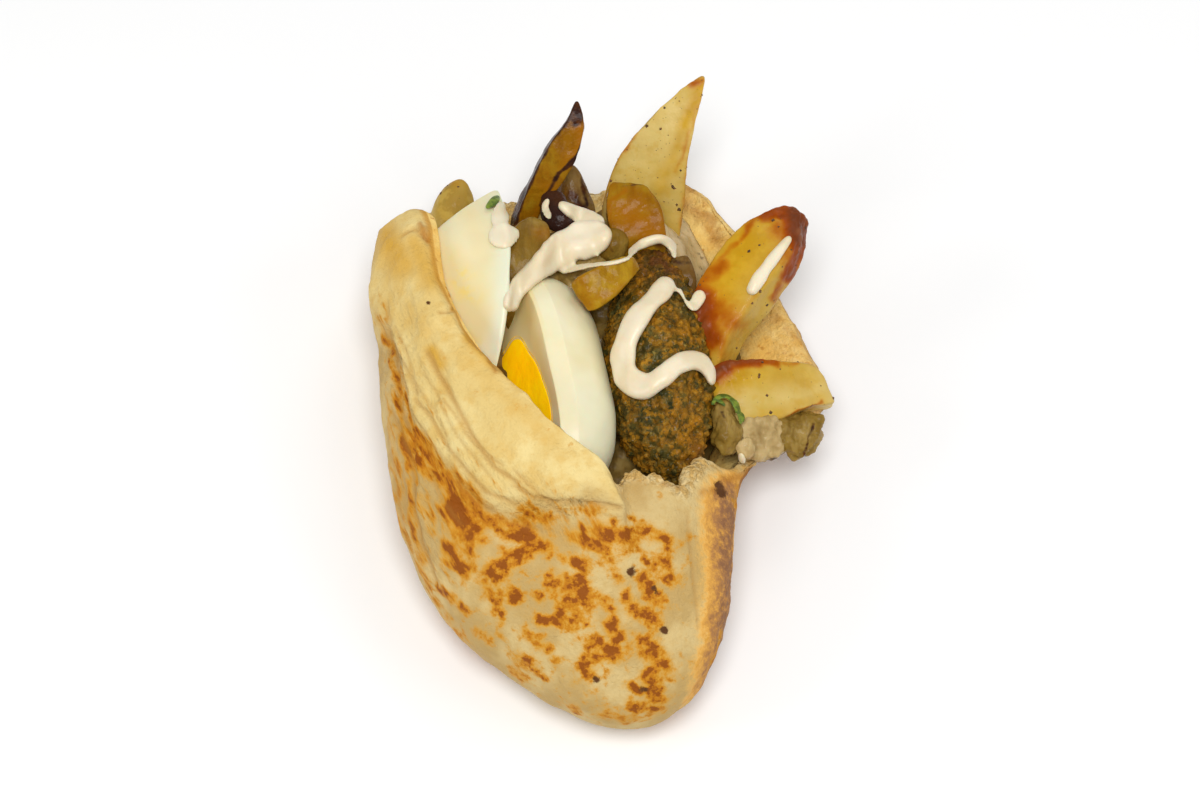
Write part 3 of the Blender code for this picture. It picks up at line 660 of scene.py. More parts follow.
def mashLook():
    # Bits coloured by their own number, pale mash where it is marked, painted shade, near black, low down between
    # the pieces
    look, tree, shader, at = newLook("mash", mashed["plain"])
    base = layered(tree, at, ramp(tree, mark(tree, "own"), mashed["bits"]), mashed["bitFlecks"])
    pale = layered(tree, at, tone(tree, at, mashed["pale"]), mashed["paleFlecks"])
    base = layered(tree, at, blend(tree, mark(tree, "pale"), base, pale), mashed["last"])
    tree.links.new(base, shader.inputs["Base Color"])
    bumped(tree, shader, at, mashed["grain"])
    return look


looks = {name: layeredLook(name) for name in layeredLooks}
looks.update((name, aubergineLook(name)) for name in aubergineTones)
looks.update(bakedBread=breadLook(), friedFalafel=falafelLook(), roastPotato=potatoLook(), mash=mashLook())
print("looks made")

bread = dict(
    wall=5.5, rimWall=3.4, rimFade=6.0, rimBulge=1.2,           # thickness, at the open edge, and its rounding
    hollowStart=8.0, hollowRound=16.0,                          # where the hollow begins, and its round end
    topSquareness=0.92, bottomSquareness=0.75,                  # 1 is an ellipse, less is squarer
    columns=400, outerRings=176, rimRings=14, innerRings=50,
    gather=1.8,                                                 # how much the rings inside crowd at the mouth
    # reach along the bread, y, left x, right x, height of the left and right seam, top, bottom
    sections=(
        (0, -86, 6, 6, 17, 17, 17, 17), (6, -85.3, 0, 12, 17, 17, 22, 11.5), (14, -82, -8, 20, 17, 18, 28, 7),
        (24, -76, -18, 26, 17, 19, 33.5, 4), (40, -64, -34, 32, 18, 22, 41, 1),
        (56, -50, -46, 35, 20, 25, 47.5, -1), (74, -32, -54, 36, 23, 28, 52.5, -1.5),
        (96, -10, -58.5, 38, 26, 27, 55.5, -1.5),
        (120, 14, -61.5, 42, 29, 23, 56, -1.5), (146, 40, -65.5, 44, 30, 20, 54, -1.5),
        (172, 66, -64, 40, 29, 18, 48, 1), (194, 88, -60, 36, 27, 16, 42, 5)),
    # open edge: angle round the section (0 right seam, 90 top, 180 left, 270 below), x, y, z
    mouth=(
        (0, 39, -16.5, 28.5), (10, 29, -18, 37), (22, 25.5, -24, 42), (32, 22.5, -30.5, 45), (48, 15, -29, 49),
        (64, 7.2, -28.6, 50.3), (72, 4.6, -33, 53), (80, -2.0, -27.4, 53.6), (90, -10.8, -19.5, 54),
        (104, -19.5, -8.5, 54), (116, -28.5, 1.2, 54), (128, -36.3, 12.2, 53.5), (138, -41.3, 21, 52.5),
        (150, -46, 33, 50.5), (158, -48, 47, 48), (169, -52, 56.5, 44), (175, -58, 57, 39),
        (181, -62.5, 57.5, 33), (195, -61, 62, 22), (210, -57, 70, 14), (225, -46, 75, 11), (245, -29, 79.5, 9),
        (262, -12, 82, 8), (272, -1, 83.5, 8), (286, 15, 86, 9), (296, 25, 85.5, 10), (305, 33, 78, 12),
        (315, 41, 65.6, 13), (326, 51.6, 44.3, 15), (336, 59, 27, 17), (345, 64, 10, 19), (351, 57, 0.5, 21.5),
        (356, 46, -9.5, 25.5), (360, 39, -16.5, 28.5)),
    drawn=((0, 14, 30, 330, 345, 360), (14, 28, 60, 60, 22, 14)),    # how far below the edge it is drawn to it
    lipLift=5.0, lipSideways=0.8,                               # how far it stands out, and less so sideways
    lipCorner=67.5, cornerFade=6,                               # degrees where it starts, and over how many
    cornerSlant=(5, 8),                                         # more degrees at the edge, and to what depth
    lipLower=(0.75, (95, 135)), lipStep=(3, 1.5),               # less lift to the left; slope about its lower edge
    rollHeight=1.6, rollDepth=9.0, rollSpread=9.0,
    lipEdge=((68, 76, 84, 90, 104, 116, 128, 140, 160, 180), (9, 10, 14, 21, 31, 40, 42, 40, 34, 30)),
    fold=(2.2, 6.0, 6.0),                                       # the furrow below the lip: depth, below, spread
    # zones of the edge: the angles between which each fades in, and out again
    band=((70.5, 77), (176, 186)), roll=((68, 78), (165, 182)), foldZone=((82, 110), (165, 185)),
    front=((2, 12), (182, 196)), torn=((4, 12), (67.5, 74.5)), calmer=((282, 300), (346, 352)),
    rim=((74, 82), (176, 190)), creased=((276, 288), (318, 330)), lipLeft=(172, 186), backTorn=(196, 214),
    sideUnseen=((286, 318), (4, 24), (16, 30)),                 # below and above the right seam, and how deep
    backLine=(0.6, (200, 215), (0.35, 0.35)),                   # strength, angles, where on the rim
    crumbOutside=(0.5, 3.5), crumbInside=(3, 9), toastStart=(1, 14),            # fades by mm below the edge
    bandFade=(-6, 4), sideStart=(8, 40),                        # by mm past the band's end; from the closed end
    rimLineFades=((0.15, 0.45), (2, 5)),                        # part of the way over the rim; mm down inside
    seenFrom=(0.02, 0.3),                                       # slope to the camera where marks come in
    calmerBy=0.65, wrinkledGain=1.3,
    furrowReach=0.62, furrowEnds=(0.7, 1.0),                    # half its length by its ends' gap; where it fades
    # roughness: height in mm or amount, size in mm, layers, seed
    swell=((0.75, 17, 2, 3), (0.22, 5, 3, 5)), wrinkles=((0.45, 4.2, 1, 8), (0.3, 2.2, 1, 9)),
    wrinkleTurn=((0.92, 0.12, 0), (0.38, -0.14, 0), (0, 0, 0.8)),
    ragged=((1.2, 5, 3, 9),), fluffSize=2.4, fluffHeight=1.2,
    bandRipple=((0.35, 8, 3, 41), (0.1, 3, 2, 42)), sideRipple=((0.3, 3, 3, 43),),
    creases=((1.2, 4.5, 1, 47),), creaseRipple=((0.5, 2.2, 2, 48),), creaseTurn=(0.8, 0.8, 0.5),
    furrowBank=(0.45, 2.6), furrowTone=0.7,                     # bank beside: height, width; width of the furrow's brown, partly painted shade
    bandEdge=((3, 12, 2, 40),), tingeNoise=((0.2, 9, 2, 22),),
    toastNoise=(15, 3, 31), spotNoise=(4, 3, 49),               # size, layers, seed
    stir=(3, 6, 20),                                            # how far marks are stirred, in pixels; size, seed
    # torn side where unseen, tinge round the toast, toast where unseen: least, most; its height
    unseenSide=0.85, tinge=0.28, unseenToast=(0.12, 0.75), toastHeight=0.2, insideCalm=0.4,
    # furrows by pixels of the photograph: width in pixels, depth in mm, line
    furrows=(
        (3.0, 1.5, ((620, 508), (604, 505), (580, 503), (554, 502), (533, 497), (513, 484))),
        (3.0, 1.1, ((393, 408), (403, 433), (411, 459), (415, 484), (413, 510), (421, 543), (429, 563),
                    (436, 584))),
        (3.0, 0.9, ((379, 320), (398, 358), (401, 403), (410, 430))),
        (3.5, 1.0, ((428, 352), (436, 371), (455, 403), (471, 435), (494, 467), (519, 483))),
        (3.0, 0.9, ((416, 400), (429, 415), (444, 443), (467, 471), (487, 492), (520, 507))),
        (2.5, 0.7, ((444, 400), (457, 418), (470, 438), (482, 451), (503, 466))),
        (3.0, 0.7, ((513, 469), (535, 490), (551, 507), (568, 520))),
        (2.4, 0.45, ((686, 512), (690, 545), (692, 575), (696, 604), (699, 628))),
        (2.6, 1.3, ((402, 236), (416, 229), (424, 238), (433, 243), (438, 256))),
        (2.2, 1.2, ((438, 313), (449, 311), (458, 308))),
        (2.2, 0.7, ((376, 312), (388, 342), (398, 376), (402, 411), (401, 438))),
        (2.2, 0.6, ((394, 327), (408, 353), (413, 380), (434, 411), (446, 435))),
        (2.0, 0.6, ((405, 394), (411, 417), (416, 438), (414, 461), (418, 484))),
        (2.4, 0.5, ((424, 372), (440, 400), (452, 428), (470, 452), (492, 478))),
        (2.4, 0.5, ((386, 430), (394, 470), (402, 520), (414, 566))),
        (3.0, 0.7, ((385, 300), (392, 340), (408, 372), (418, 395))),
        (4.0, 0.6, ((455, 478), (480, 503), (505, 520), (540, 530))),
        (4.0, 0.5, ((400, 470), (406, 510), (420, 545))),
        (3.0, 0.6, ((430, 470), (442, 500), (462, 525)))),
    # toasted marks by pixels of the photograph: from, to, radius, strength
    toast=(
        (415, 433, 440, 466, 7, .85), (418, 462, 453, 487, 7, 1), (452, 480, 474, 497, 13, .95),
        (456, 505, 470, 535, 15, 1), (447, 546, 451, 560, 6, .85), (450, 560, 470, 572, 6, .95),
        (438, 590, 454, 599, 5, .8), (462, 603, 469, 611, 4, .85), (481, 630, 490, 642, 6, .55),
        (494, 573, 528, 550, 9, 1), (507, 563, 518, 562, 6, 1), (510, 595, 512, 600, 7, 1),
        (484, 584, 495, 608, 6, .75), (494, 579, 504, 624, 5, .65), (499, 632, 504, 638, 4, .55),
        (487, 461, 500, 471, 5, .9), (520, 474, 556, 486, 9, .6), (521, 507, 545, 519, 6, .85),
        (493, 522, 536, 547, 8, .85), (518, 522, 549, 550, 7, .85), (600, 530, 632, 538, 9, .8),
        (641, 527, 668, 542, 8, .75), (574, 536, 600, 549, 6, 1), (588, 541, 609, 552, 5, 1),
        (584, 529, 597, 532, 5, .7), (574, 562, 585, 566, 8, .95), (564, 559, 566, 559, 5, .75),
        (539, 596, 541, 597, 5, .8), (562, 580, 572, 600, 9, .85), (578, 583, 588, 598, 9, .95),
        (566, 601, 575, 603, 6, .9), (577, 612, 585, 624, 4.5, .8), (594, 595, 614, 609, 5, .7),
        (539, 622, 556, 624, 6, .9), (526, 632, 538, 644, 7, .6), (538, 646, 549, 651, 5, .8),
        (518, 655, 534, 668, 8, .85), (513, 670, 523, 679, 6, .75), (554, 658, 557, 659, 4.5, .8),
        (543, 677, 545, 679, 3.5, .9), (561, 616, 574, 625, 6, .95), (609, 624, 616, 636, 8, .85),
        (598, 645, 614, 655, 10, .95), (588, 660, 600, 657, 7, .95), (585, 666, 590, 671, 6, .95),
        (633, 517, 634, 518, 4, 1), (611, 522, 612, 523, 3.5, .9), (643, 562, 644, 563, 4, .9),
        (648, 588, 659, 599, 7, 1), (643, 578, 648, 590, 6, .7), (626, 594, 635, 611, 8, .8),
        (641, 612, 653, 622, 8, .7), (660, 563, 673, 579, 9, .6), (656, 644, 657, 646, 4, 1),
        (648, 645, 666, 668, 12, .7), (648, 676, 655, 697, 10, .8), (632, 686, 641, 690, 6, 1),
        (630, 704, 656, 709, 7, .7), (600, 716, 652, 721, 6, .5), (574, 709, 577, 712, 4.5, .85),
        (430, 347, 441, 364, 7, .8), (378, 282, 388, 330, 6, .5), (386, 335, 400, 388, 6, .6),
        (402, 425, 411, 470, 4, .8), (408, 480, 413, 540, 4, .75), (416, 545, 428, 590, 4, .7),
        (420, 400, 430, 425, 5, .7), (440, 398, 470, 440, 5, .6), (392, 395, 398, 500, 5, .45),
        (398, 510, 408, 560, 5, .5), (430, 600, 470, 645, 5, .45), (445, 447, 470, 465, 8, .6),
        (470, 500, 486, 520, 7, .6), (548, 575, 560, 610, 6, .55), (610, 560, 624, 590, 7, .45),
        (560, 505, 600, 512, 5, .45), (420, 500, 432, 530, 5, .45), (378, 318, 386, 345, 3, .8),
        (388, 342, 398, 377, 2.5, .9), (398, 377, 402, 412, 3, .9), (402, 412, 403, 440, 2.5, .8),
        (394, 327, 408, 353, 2.5, .6), (408, 353, 413, 380, 2.5, .7), (413, 380, 434, 411, 2.5, .7),
        (434, 411, 446, 436, 2.5, .6), (405, 394, 411, 417, 2.5, .9), (411, 417, 416, 438, 3, .9),
        (416, 438, 414, 461, 2.5, .8), (414, 461, 418, 484, 2.5, .8), (420, 430, 432, 460, 3, .8),
        (426, 395, 440, 425, 2, .6), (390, 300, 396, 316, 3, .5)),
    wrinkled=((396, 320, 440, 500, 36, 1), (410, 380, 430, 580, 30, 1), (470, 460, 580, 520, 22, 1)),
    scorch=((726, 482, 750, 473, 4, .7), (704, 494, 720, 488, 4, .5), (664, 484, 676, 488, 4, .4),
            (420, 226, 428, 238, 2.5, .8), (490, 358, 495, 370, 3, .8), (468, 340, 482, 350, 3, .5)),
    tinged=((430, 440, 480, 560, 34, 1), (500, 500, 660, 560, 38, 1), (500, 580, 640, 640, 40, .9),
            (560, 680, 650, 700, 26, .8), (650, 560, 655, 700, 18, 1)),
    insideToast=((675, 201, 684, 206, 6, .75), (696, 212, 711, 220, 8, .75), (712, 236, 730, 243, 7, .8),
                 (688, 190, 701, 197, 5, .6), (706, 228, 718, 230, 5, .6), (800, 330, 818, 370, 6, .5),
                 (775, 318, 800, 340, 5, .4), (722, 250, 735, 258, 4, .5)),
    sideBand=((730, 500, 732, 570, 21, .86), (732, 570, 727, 640, 20, .86), (725, 640, 702, 694, 17, .8),
              (698, 698, 650, 726, 11, .6)),
    goldenLip=((385, 235, 400, 262, 16, 1), (415, 245, 432, 280, 12, .8), (385, 290, 430, 330, 20, .25),
               (432, 350, 440, 364, 6, 1), (440, 330, 560, 450, 8, .3), (468, 336, 494, 362, 8, 1),
               (494, 362, 512, 378, 6, .7)),
    char=((631, 571, 632, 572, 4.5, 1), (664, 630, 665, 631, 4, 1), (595, 679, 597, 680, 3.5, .9),
          (641, 689, 645, 690, 4, .8), (716, 486, 720, 495, 5, .9), (653, 588, 656, 592, 3, .7),
          (428, 303, 429, 303, 1.8, 1)),
)
sections, mouth = np.array(bread["sections"], float), np.array(bread["mouth"], float)


def mouthPoint(angle):
    # Point of the open edge at an angle: the smooth line through its points, repeated once on either side
    keys = np.concatenate([mouth[:-1, 0] - 360, mouth[:, 0], mouth[1:, 0] + 360])
    return through(keys, np.concatenate([mouth[:-1, 1:], mouth[:, 1:], mouth[1:, 1:]]), angle)


def mouthReach(angle):
    # How far along the bread its open edge is: the reach whose section has the edge's y
    return np.interp(mouthPoint(angle)[..., 1], sections[:, 1], sections[:, 0])


def sectionPoint(angle, reach, inset=0.0, closing=1.0):
    # Point round a cross section: cosine of the angle across, a power of its sine above and below the seam
    sizes = through(sections[:, 0], sections[:, 1:], reach)
    y, left, right, seamLeft, seamRight, top, bottom = (sizes[..., i] for i in range(7))
    left, right, top = left + inset, right - inset, top - inset
    bottom = np.where(np.asarray(inset) > 0, np.maximum(bottom, 0), bottom) + inset
    c, s = np.cos(np.radians(angle)), np.sin(np.radians(angle))
    x = (left + right) / 2 + (right - left) / 2 * c * closing
    seam = seamLeft + (seamRight - seamLeft) * (c + 1) / 2
    above = seam + (top - seam) * np.abs(s) ** bread["topSquareness"] * closing
    below = seam - (seam - bottom) * np.abs(s) ** bread["bottomSquareness"] * closing
    return np.stack([x, y, np.where(s >= 0, above, below)], -1)


def towardsMouth(angle, depth):
    # What is added to a section point so that the edge passes through the mouth's points, fading below it
    spread = np.interp(angle, *bread["drawn"])
    gap = mouthPoint(angle) - sectionPoint(angle, mouthReach(angle))
    return gap * (np.clip(1 - depth / spread, 0, 1) ** 2)[..., None]


def rounded(along, start):
    # Half circle that closes the hollow at its start, as a share of the section's size
    return np.sqrt(1 - (1 - np.clip((along - start) / bread["hollowRound"], 0, 1)) ** 2)


def lip(angle, depth):
    # How far the front stands out: the lifted band, its rolled edge and the furrow below it
    edge = np.interp(angle, *bread["lipEdge"])
    deep, below, spread = bread["fold"]
    slant, slantDepth = bread["cornerSlant"]
    corner = bread["lipCorner"] + slant * (1 - ease(0, slantDepth, depth))
    less, leftwards = bread["lipLower"]
    band = zone((corner, corner + bread["cornerFade"]), bread["lipLeft"], angle)
    band = band * (1 - less * ease(*leftwards, angle))
    roll = bread["rollHeight"] * hump(bread["rollDepth"], bread["rollSpread"], depth) * zone(*bread["roll"], angle)
    furrow = deep * hump(edge + below, spread, depth) * zone(*bread["foldZone"], angle)
    before, after = bread["lipStep"]
    return bread["lipLift"] * band * (1 - ease(edge - before, edge + after, depth)) + roll - furrow


def outerBread(angle, part):
    # Outside, a part of the way up to the edge: the section's point drawn to the mouth, moved out by the lip
    reach = mouthReach(angle)
    depth = (1 - part) * reach
    point = sectionPoint(angle, part * reach) + towardsMouth(angle, depth)
    c, s = np.cos(np.radians(angle)), np.sin(np.radians(angle))
    away = unit(np.stack([bread["lipSideways"] * c, np.zeros_like(c), s], -1))
    point = point + away * lip(angle, depth)[..., None]
    point[..., 2] = np.maximum(point[..., 2], 0)
    return point, depth


def innerBread(angle, part, inset):
    # Inside in the same way: the section less the wall, which thins to the edge, closed by a round end
    start = bread["hollowStart"] + inset
    reach = mouthReach(angle)
    along = start + (reach - start) * part
    depth = reach - along
    inset = inset - (bread["wall"] - bread["rimWall"]) * np.exp(-depth / bread["rimFade"])
    return sectionPoint(angle, along, inset, rounded(along, start)) + towardsMouth(angle, depth), depth


def breadSheet():
    # One closed sheet, rings from the closed end up the outside, over the rim and down the inside: its points,
    # and at each the angle, the part of the way over the rim and the depth below the edge
    outer, rim, inner = bread["outerRings"], bread["rimRings"], bread["innerRings"]
    _, angle = gridOf(outer + rim + inner, bread["columns"])
    ring = np.arange(len(angle))[:, None] * np.ones(bread["columns"])
    outside, depth = outerBread(angle, np.clip(ring / outer, 0, 1))
    toEnd = np.clip((ring - outer - rim) / inner, 0, 1) ** bread["gather"]
    inside, innerDepth = innerBread(angle, 1 - toEnd, bread["wall"])
    over = np.clip((ring - outer) / rim, 0, 1)
    points = outside * (1 - over[..., None]) + inside * over[..., None]
    points[..., 1] += 4 * bread["rimBulge"] * over * (1 - over)
    return points, angle, over, np.where(over < 1, depth, innerDepth)


def makeBread():
    # The sheet with its marks, moved out by waves, wrinkles, furrows and crumbs
    points, angle, over, depth = breadSheet()
    outward = normalsOf(points)
    pixels, _ = pictured(points)
    seen = ease(*bread["seenFrom"], outward @ -forward)
    facing = seen * (over < 0.5)
    front = zone(*bread["front"], angle)

    # Crumb shows at the rough open edge, not at the lip
    torn = zone(*bread["torn"], angle) + ease(*bread["backTorn"], angle)
    torn = torn * (1 - bread["calmerBy"] * zone(*bread["calmer"], angle))
    crumb = torn * np.where(over > 0, 1.0, 1 - ease(*bread["crumbOutside"], depth))
    crumb = crumb * np.where(over < 1, 1, 1 - ease(*bread["crumbInside"], depth))
    wrinkled = np.clip(bread["wrinkledGain"] * marked(pixels, bread["wrinkled"]), 0, 1) * facing
    wrinkles = bumpy(points @ np.array(bread["wrinkleTurn"]), bread["wrinkles"])
    relief = bumpy(points, bread["swell"]) + wrinkled * wrinkles

    furrow = np.zeros_like(relief)
    bank, bankWidth = bread["furrowBank"]
    for width, deep, line in bread["furrows"]:
        off = offLine(pixels, line)
        halfLength = np.linalg.norm(np.subtract(line[-1], line[0])) * bread["furrowReach"]
        fromMiddle = np.linalg.norm(pixels - np.mean(line, axis=0), axis=-1) / halfLength
        here = facing * (1 - ease(*bread["furrowEnds"], fromMiddle))
        relief -= deep * here * (hump(0, width, off) - bank * hump(0, width * bankWidth, off))
        # the furrow's colour: brown in the crease, partly painted shade
        furrow = np.maximum(furrow, min(deep, 1) * here * hump(0, width * bread["furrowTone"], off))
    fluff = bread["fluffHeight"] * (usualLump - lumps(points, bread["fluffSize"], 4)[0])
    relief += crumb * (bumpy(points, bread["ragged"]) + fluff)

    # The torn side, by its strokes where the camera sees it and by angle where it doesn't
    below, above, deep = bread["sideUnseen"]
    unseen = np.maximum(ease(*below, angle), (1 - ease(*above, angle)) * ease(*deep, depth))
    unseen = bread["unseenSide"] * unseen * (over < 0.3)
    side = np.maximum(marked(pixels, bread["sideBand"]) * facing, unseen)
    side = side * ease(*bread["sideStart"], mouthReach(angle) - depth) * (1 - 0.7 * crumb)

    # Toast by its strokes, with a tinge round them, and by noise where the camera doesn't see it
    shifted = stirred(pixels, points, *bread["stir"])
    tinged = marked(pixels, bread["tinged"]) * (bread["tinge"] + bumpy(points, bread["tingeNoise"]))
    toast = np.clip(marked(shifted, bread["toast"]) + tinged, 0, 1) * facing * front
    least, most = bread["unseenToast"]
    elsewhere = (1 - facing * front) * (over < 0.3) * ease(*bread["toastStart"], depth)
    toast = np.maximum(toast, elsewhere * (least + most * ease(0.0, 0.5, rough(points, *bread["toastNoise"]))))
    spots = marked(shifted, bread["insideToast"]) * seen * (over > 0.5)
    spots = spots * ease(-0.5, 0.15, rough(points, *bread["spotNoise"]))
    relief += bread["toastHeight"] * toast + side * bumpy(points, bread["sideRipple"])

    # The pale band of the lip, and the brown line along its edge
    edge = depth - np.interp(angle, *bread["lipEdge"]) + bumpy(points, bread["bandEdge"])
    band = zone(*bread["band"], angle) * (over < 0.6) * (1 - ease(*bread["bandFade"], edge))
    relief += band * bumpy(points, bread["bandRipple"])
    across, inwards = bread["rimLineFades"]
    rimLine = zone(*bread["rim"], angle) * np.where(
        over > 0, ease(*across, over) * (1 - ease(*inwards, depth * (over >= 1))), 0)
    share, angles, middle = bread["backLine"]
    backLine = share * ease(*angles, angle) * hump(*middle, over) * (over > 0) * (over < 1)
    rimLine = np.maximum(rimLine, backLine)

    # Inside it is smoother, but for a creased stretch of the back wall
    creased = zone(*bread["creased"], angle) * (over >= 1)
    creases = bumpy(points @ np.diag(bread["creaseTurn"]), bread["creases"]) + bumpy(points, bread["creaseRipple"])
    calm = bread["insideCalm"]
    relief = relief * np.where(over >= 1, calm + (1 - calm) * crumb, 1) + creased * creases
    points = points + outward * relief[..., None]
    points[..., 2] = np.maximum(points[..., 2], 0)
    marks = dict(
        toast=toast * (1 - 0.85 * band), band=band, side=side, crumb=0.9 * crumb, rimLine=0.8 * rimLine,
        wrinkled=wrinkled, furrow=furrow, golden=marked(pixels, bread["goldenLip"]),
        char=marked(pixels, bread["char"]) * facing, inside=1.0 * (over >= 0.6),
        scorch=np.maximum(marked(shifted, bread["scorch"]) * facing, spots))
    makePiece("pocketBread", [points], looks["bakedBread"], ["pita"], marks)


makeBread()
print("bread made")

towardsEye = (0.0, -0.47, 0.883)
block = ((0, 1), (90, 1), (180, 1), (270, 1))       # four flats: direction and distance


def swept(sizes, columns, rings):
    # A section, round or with flats (direction, distance), carried along a smooth line and rounded at both ends:
    # its points, and at each the part of the way and how near it is to a corner between flats
    _, k, a, middle, along = carried(sizes["line"], rings, columns, 0.001)
    front = np.broadcast_to(np.asarray(sizes.get("face", towardsEye), float), along.shape)
    front = unit(front - (front * along).sum(-1, keepdims=True) * along)
    side = np.cross(along, front)
    x, y, corner = np.cos(a), np.sin(a), np.zeros_like(a)
    if sizes.get("flats"):
        power = sizes.get("crisp", 10)
        sides = np.stack([np.maximum(0, np.cos(a - math.radians(d)) / far) for d, far in sizes["flats"]])
        pull = (sides**power).sum(0) ** (-1 / power)
        x, y = pull * x, pull * y
        ordered = np.sort(sides, axis=0)
        corner = hump(0, 0.16, ordered[-1] - ordered[-2])
    start, end = sizes["ends"]
    power = np.where(k < 0.5, start, end)
    closing = (1 - np.abs(1 - 2 * k) ** power) ** (1 / power)
    x, y = x * closing * spaced(sizes["width"], k) / 2, y * closing * spaced(sizes["depth"], k) / 2
    turn = sizes.get("turn", (0,))
    r = np.radians(np.interp(k, np.linspace(0, 1, len(turn)), turn))
    x, y = x * np.cos(r) - y * np.sin(r), x * np.sin(r) + y * np.cos(r)
    lean = along * (sizes.get("slant", 0) * np.clip(1 - 2 * k, 0, 1) * x)[..., None]
    return middle + side * x[..., None] + front * y[..., None] + lean, k, corner


falafel = dict(
    line=((14.8, 52.5, 32), (15, 36.5, 31), (16.5, 14.5, 32), (18, -5, 32), (22, -22, 30)),
    width=(16, 25, 29.5, 29.5, 22), depth=(17, 27.5, 32, 31, 22), face=(0, 0, 1), ends=(2.8, 2.3),
    columns=350, rings=280, lump=3.6, lumpHeight=1.8, grain=1.5, grainHeight=1.15,
    stirs=((0.8, 3, 2, 60), (0.5, 1.6, 2, 61)), ripple=((0.8, 11, 2, 5), (0.22, 1.5, 2, 64)),
    stir=(6, 8, 67), scorchNoise=(4, 2, 66), ownNoise=((0.25, 8, 2, 63),),
    mossy=((652, 338, 655, 374, 16, 1), (622, 296, 616, 312, 9, .9), (668, 280, 688, 318, 8, .5),
           (650, 412, 660, 450, 18, .9), (625, 425, 640, 446, 10, .5), (700, 380, 702, 420, 6, .4)),
    # golden: orange patches of the crust; the last stroke, low on the left, is painted light, lightening a side
    # that is in shade
    golden=((668, 325, 690, 352, 13, .9), (676, 400, 690, 470, 14, .8), (612, 320, 608, 352, 9, .6),
            (628, 400, 640, 410, 8, .5), (636, 462, 652, 478, 9, .7), (622, 440, 630, 462, 9, .9)),
    scorched=((637, 250, 668, 262, 18, 0.9), (668, 235, 672, 262, 7, 0.7), (690, 470, 700, 440, 8, 0.5)),
)


def makeFalafel():
    # Crust: lumps, each the rounded neighbourhood of a scattered point, with smaller grains on them
    points, *_ = swept(falafel, falafel["columns"], falafel["rings"])
    stirs = [bumpy(points, (stir,))[..., None] for stir in falafel["stirs"]]
    wide, own = lumps(points + stirs[0], falafel["lump"], 1)
    small, ownSmall = lumps(points + stirs[1], falafel["grain"], 2)
    relief = falafel["lumpHeight"] * (usualLump - wide) + falafel["grainHeight"] * (usualLump - small)
    relief += bumpy(points, falafel["ripple"])
    pixels, _ = pictured(points)
    shifted = stirred(pixels, points, *falafel["stir"])
    patchy = ease(-0.3, 0.4, rough(points, *falafel["scorchNoise"]))
    scorched = marked(pixels, falafel["scorched"]) * (0.4 + 0.6 * patchy)
    marks = dict(
        own=np.clip(0.35 * own + 0.75 * ownSmall - 0.05 + bumpy(points, falafel["ownNoise"]), 0, 1),
        # raised: how high a point stands among the lumps; the look puts painted shade where it is low
        raised=np.clip(1.25 - 0.55 * wide - 0.55 * small, 0, 1), scorched=scorched,
        mossy=marked(shifted, falafel["mossy"]), golden=marked(shifted, falafel["golden"]))
    makePiece("friedFalafel", [grown(points, relief)], looks["friedFalafel"], ["falafel"], marks)


makeFalafel()

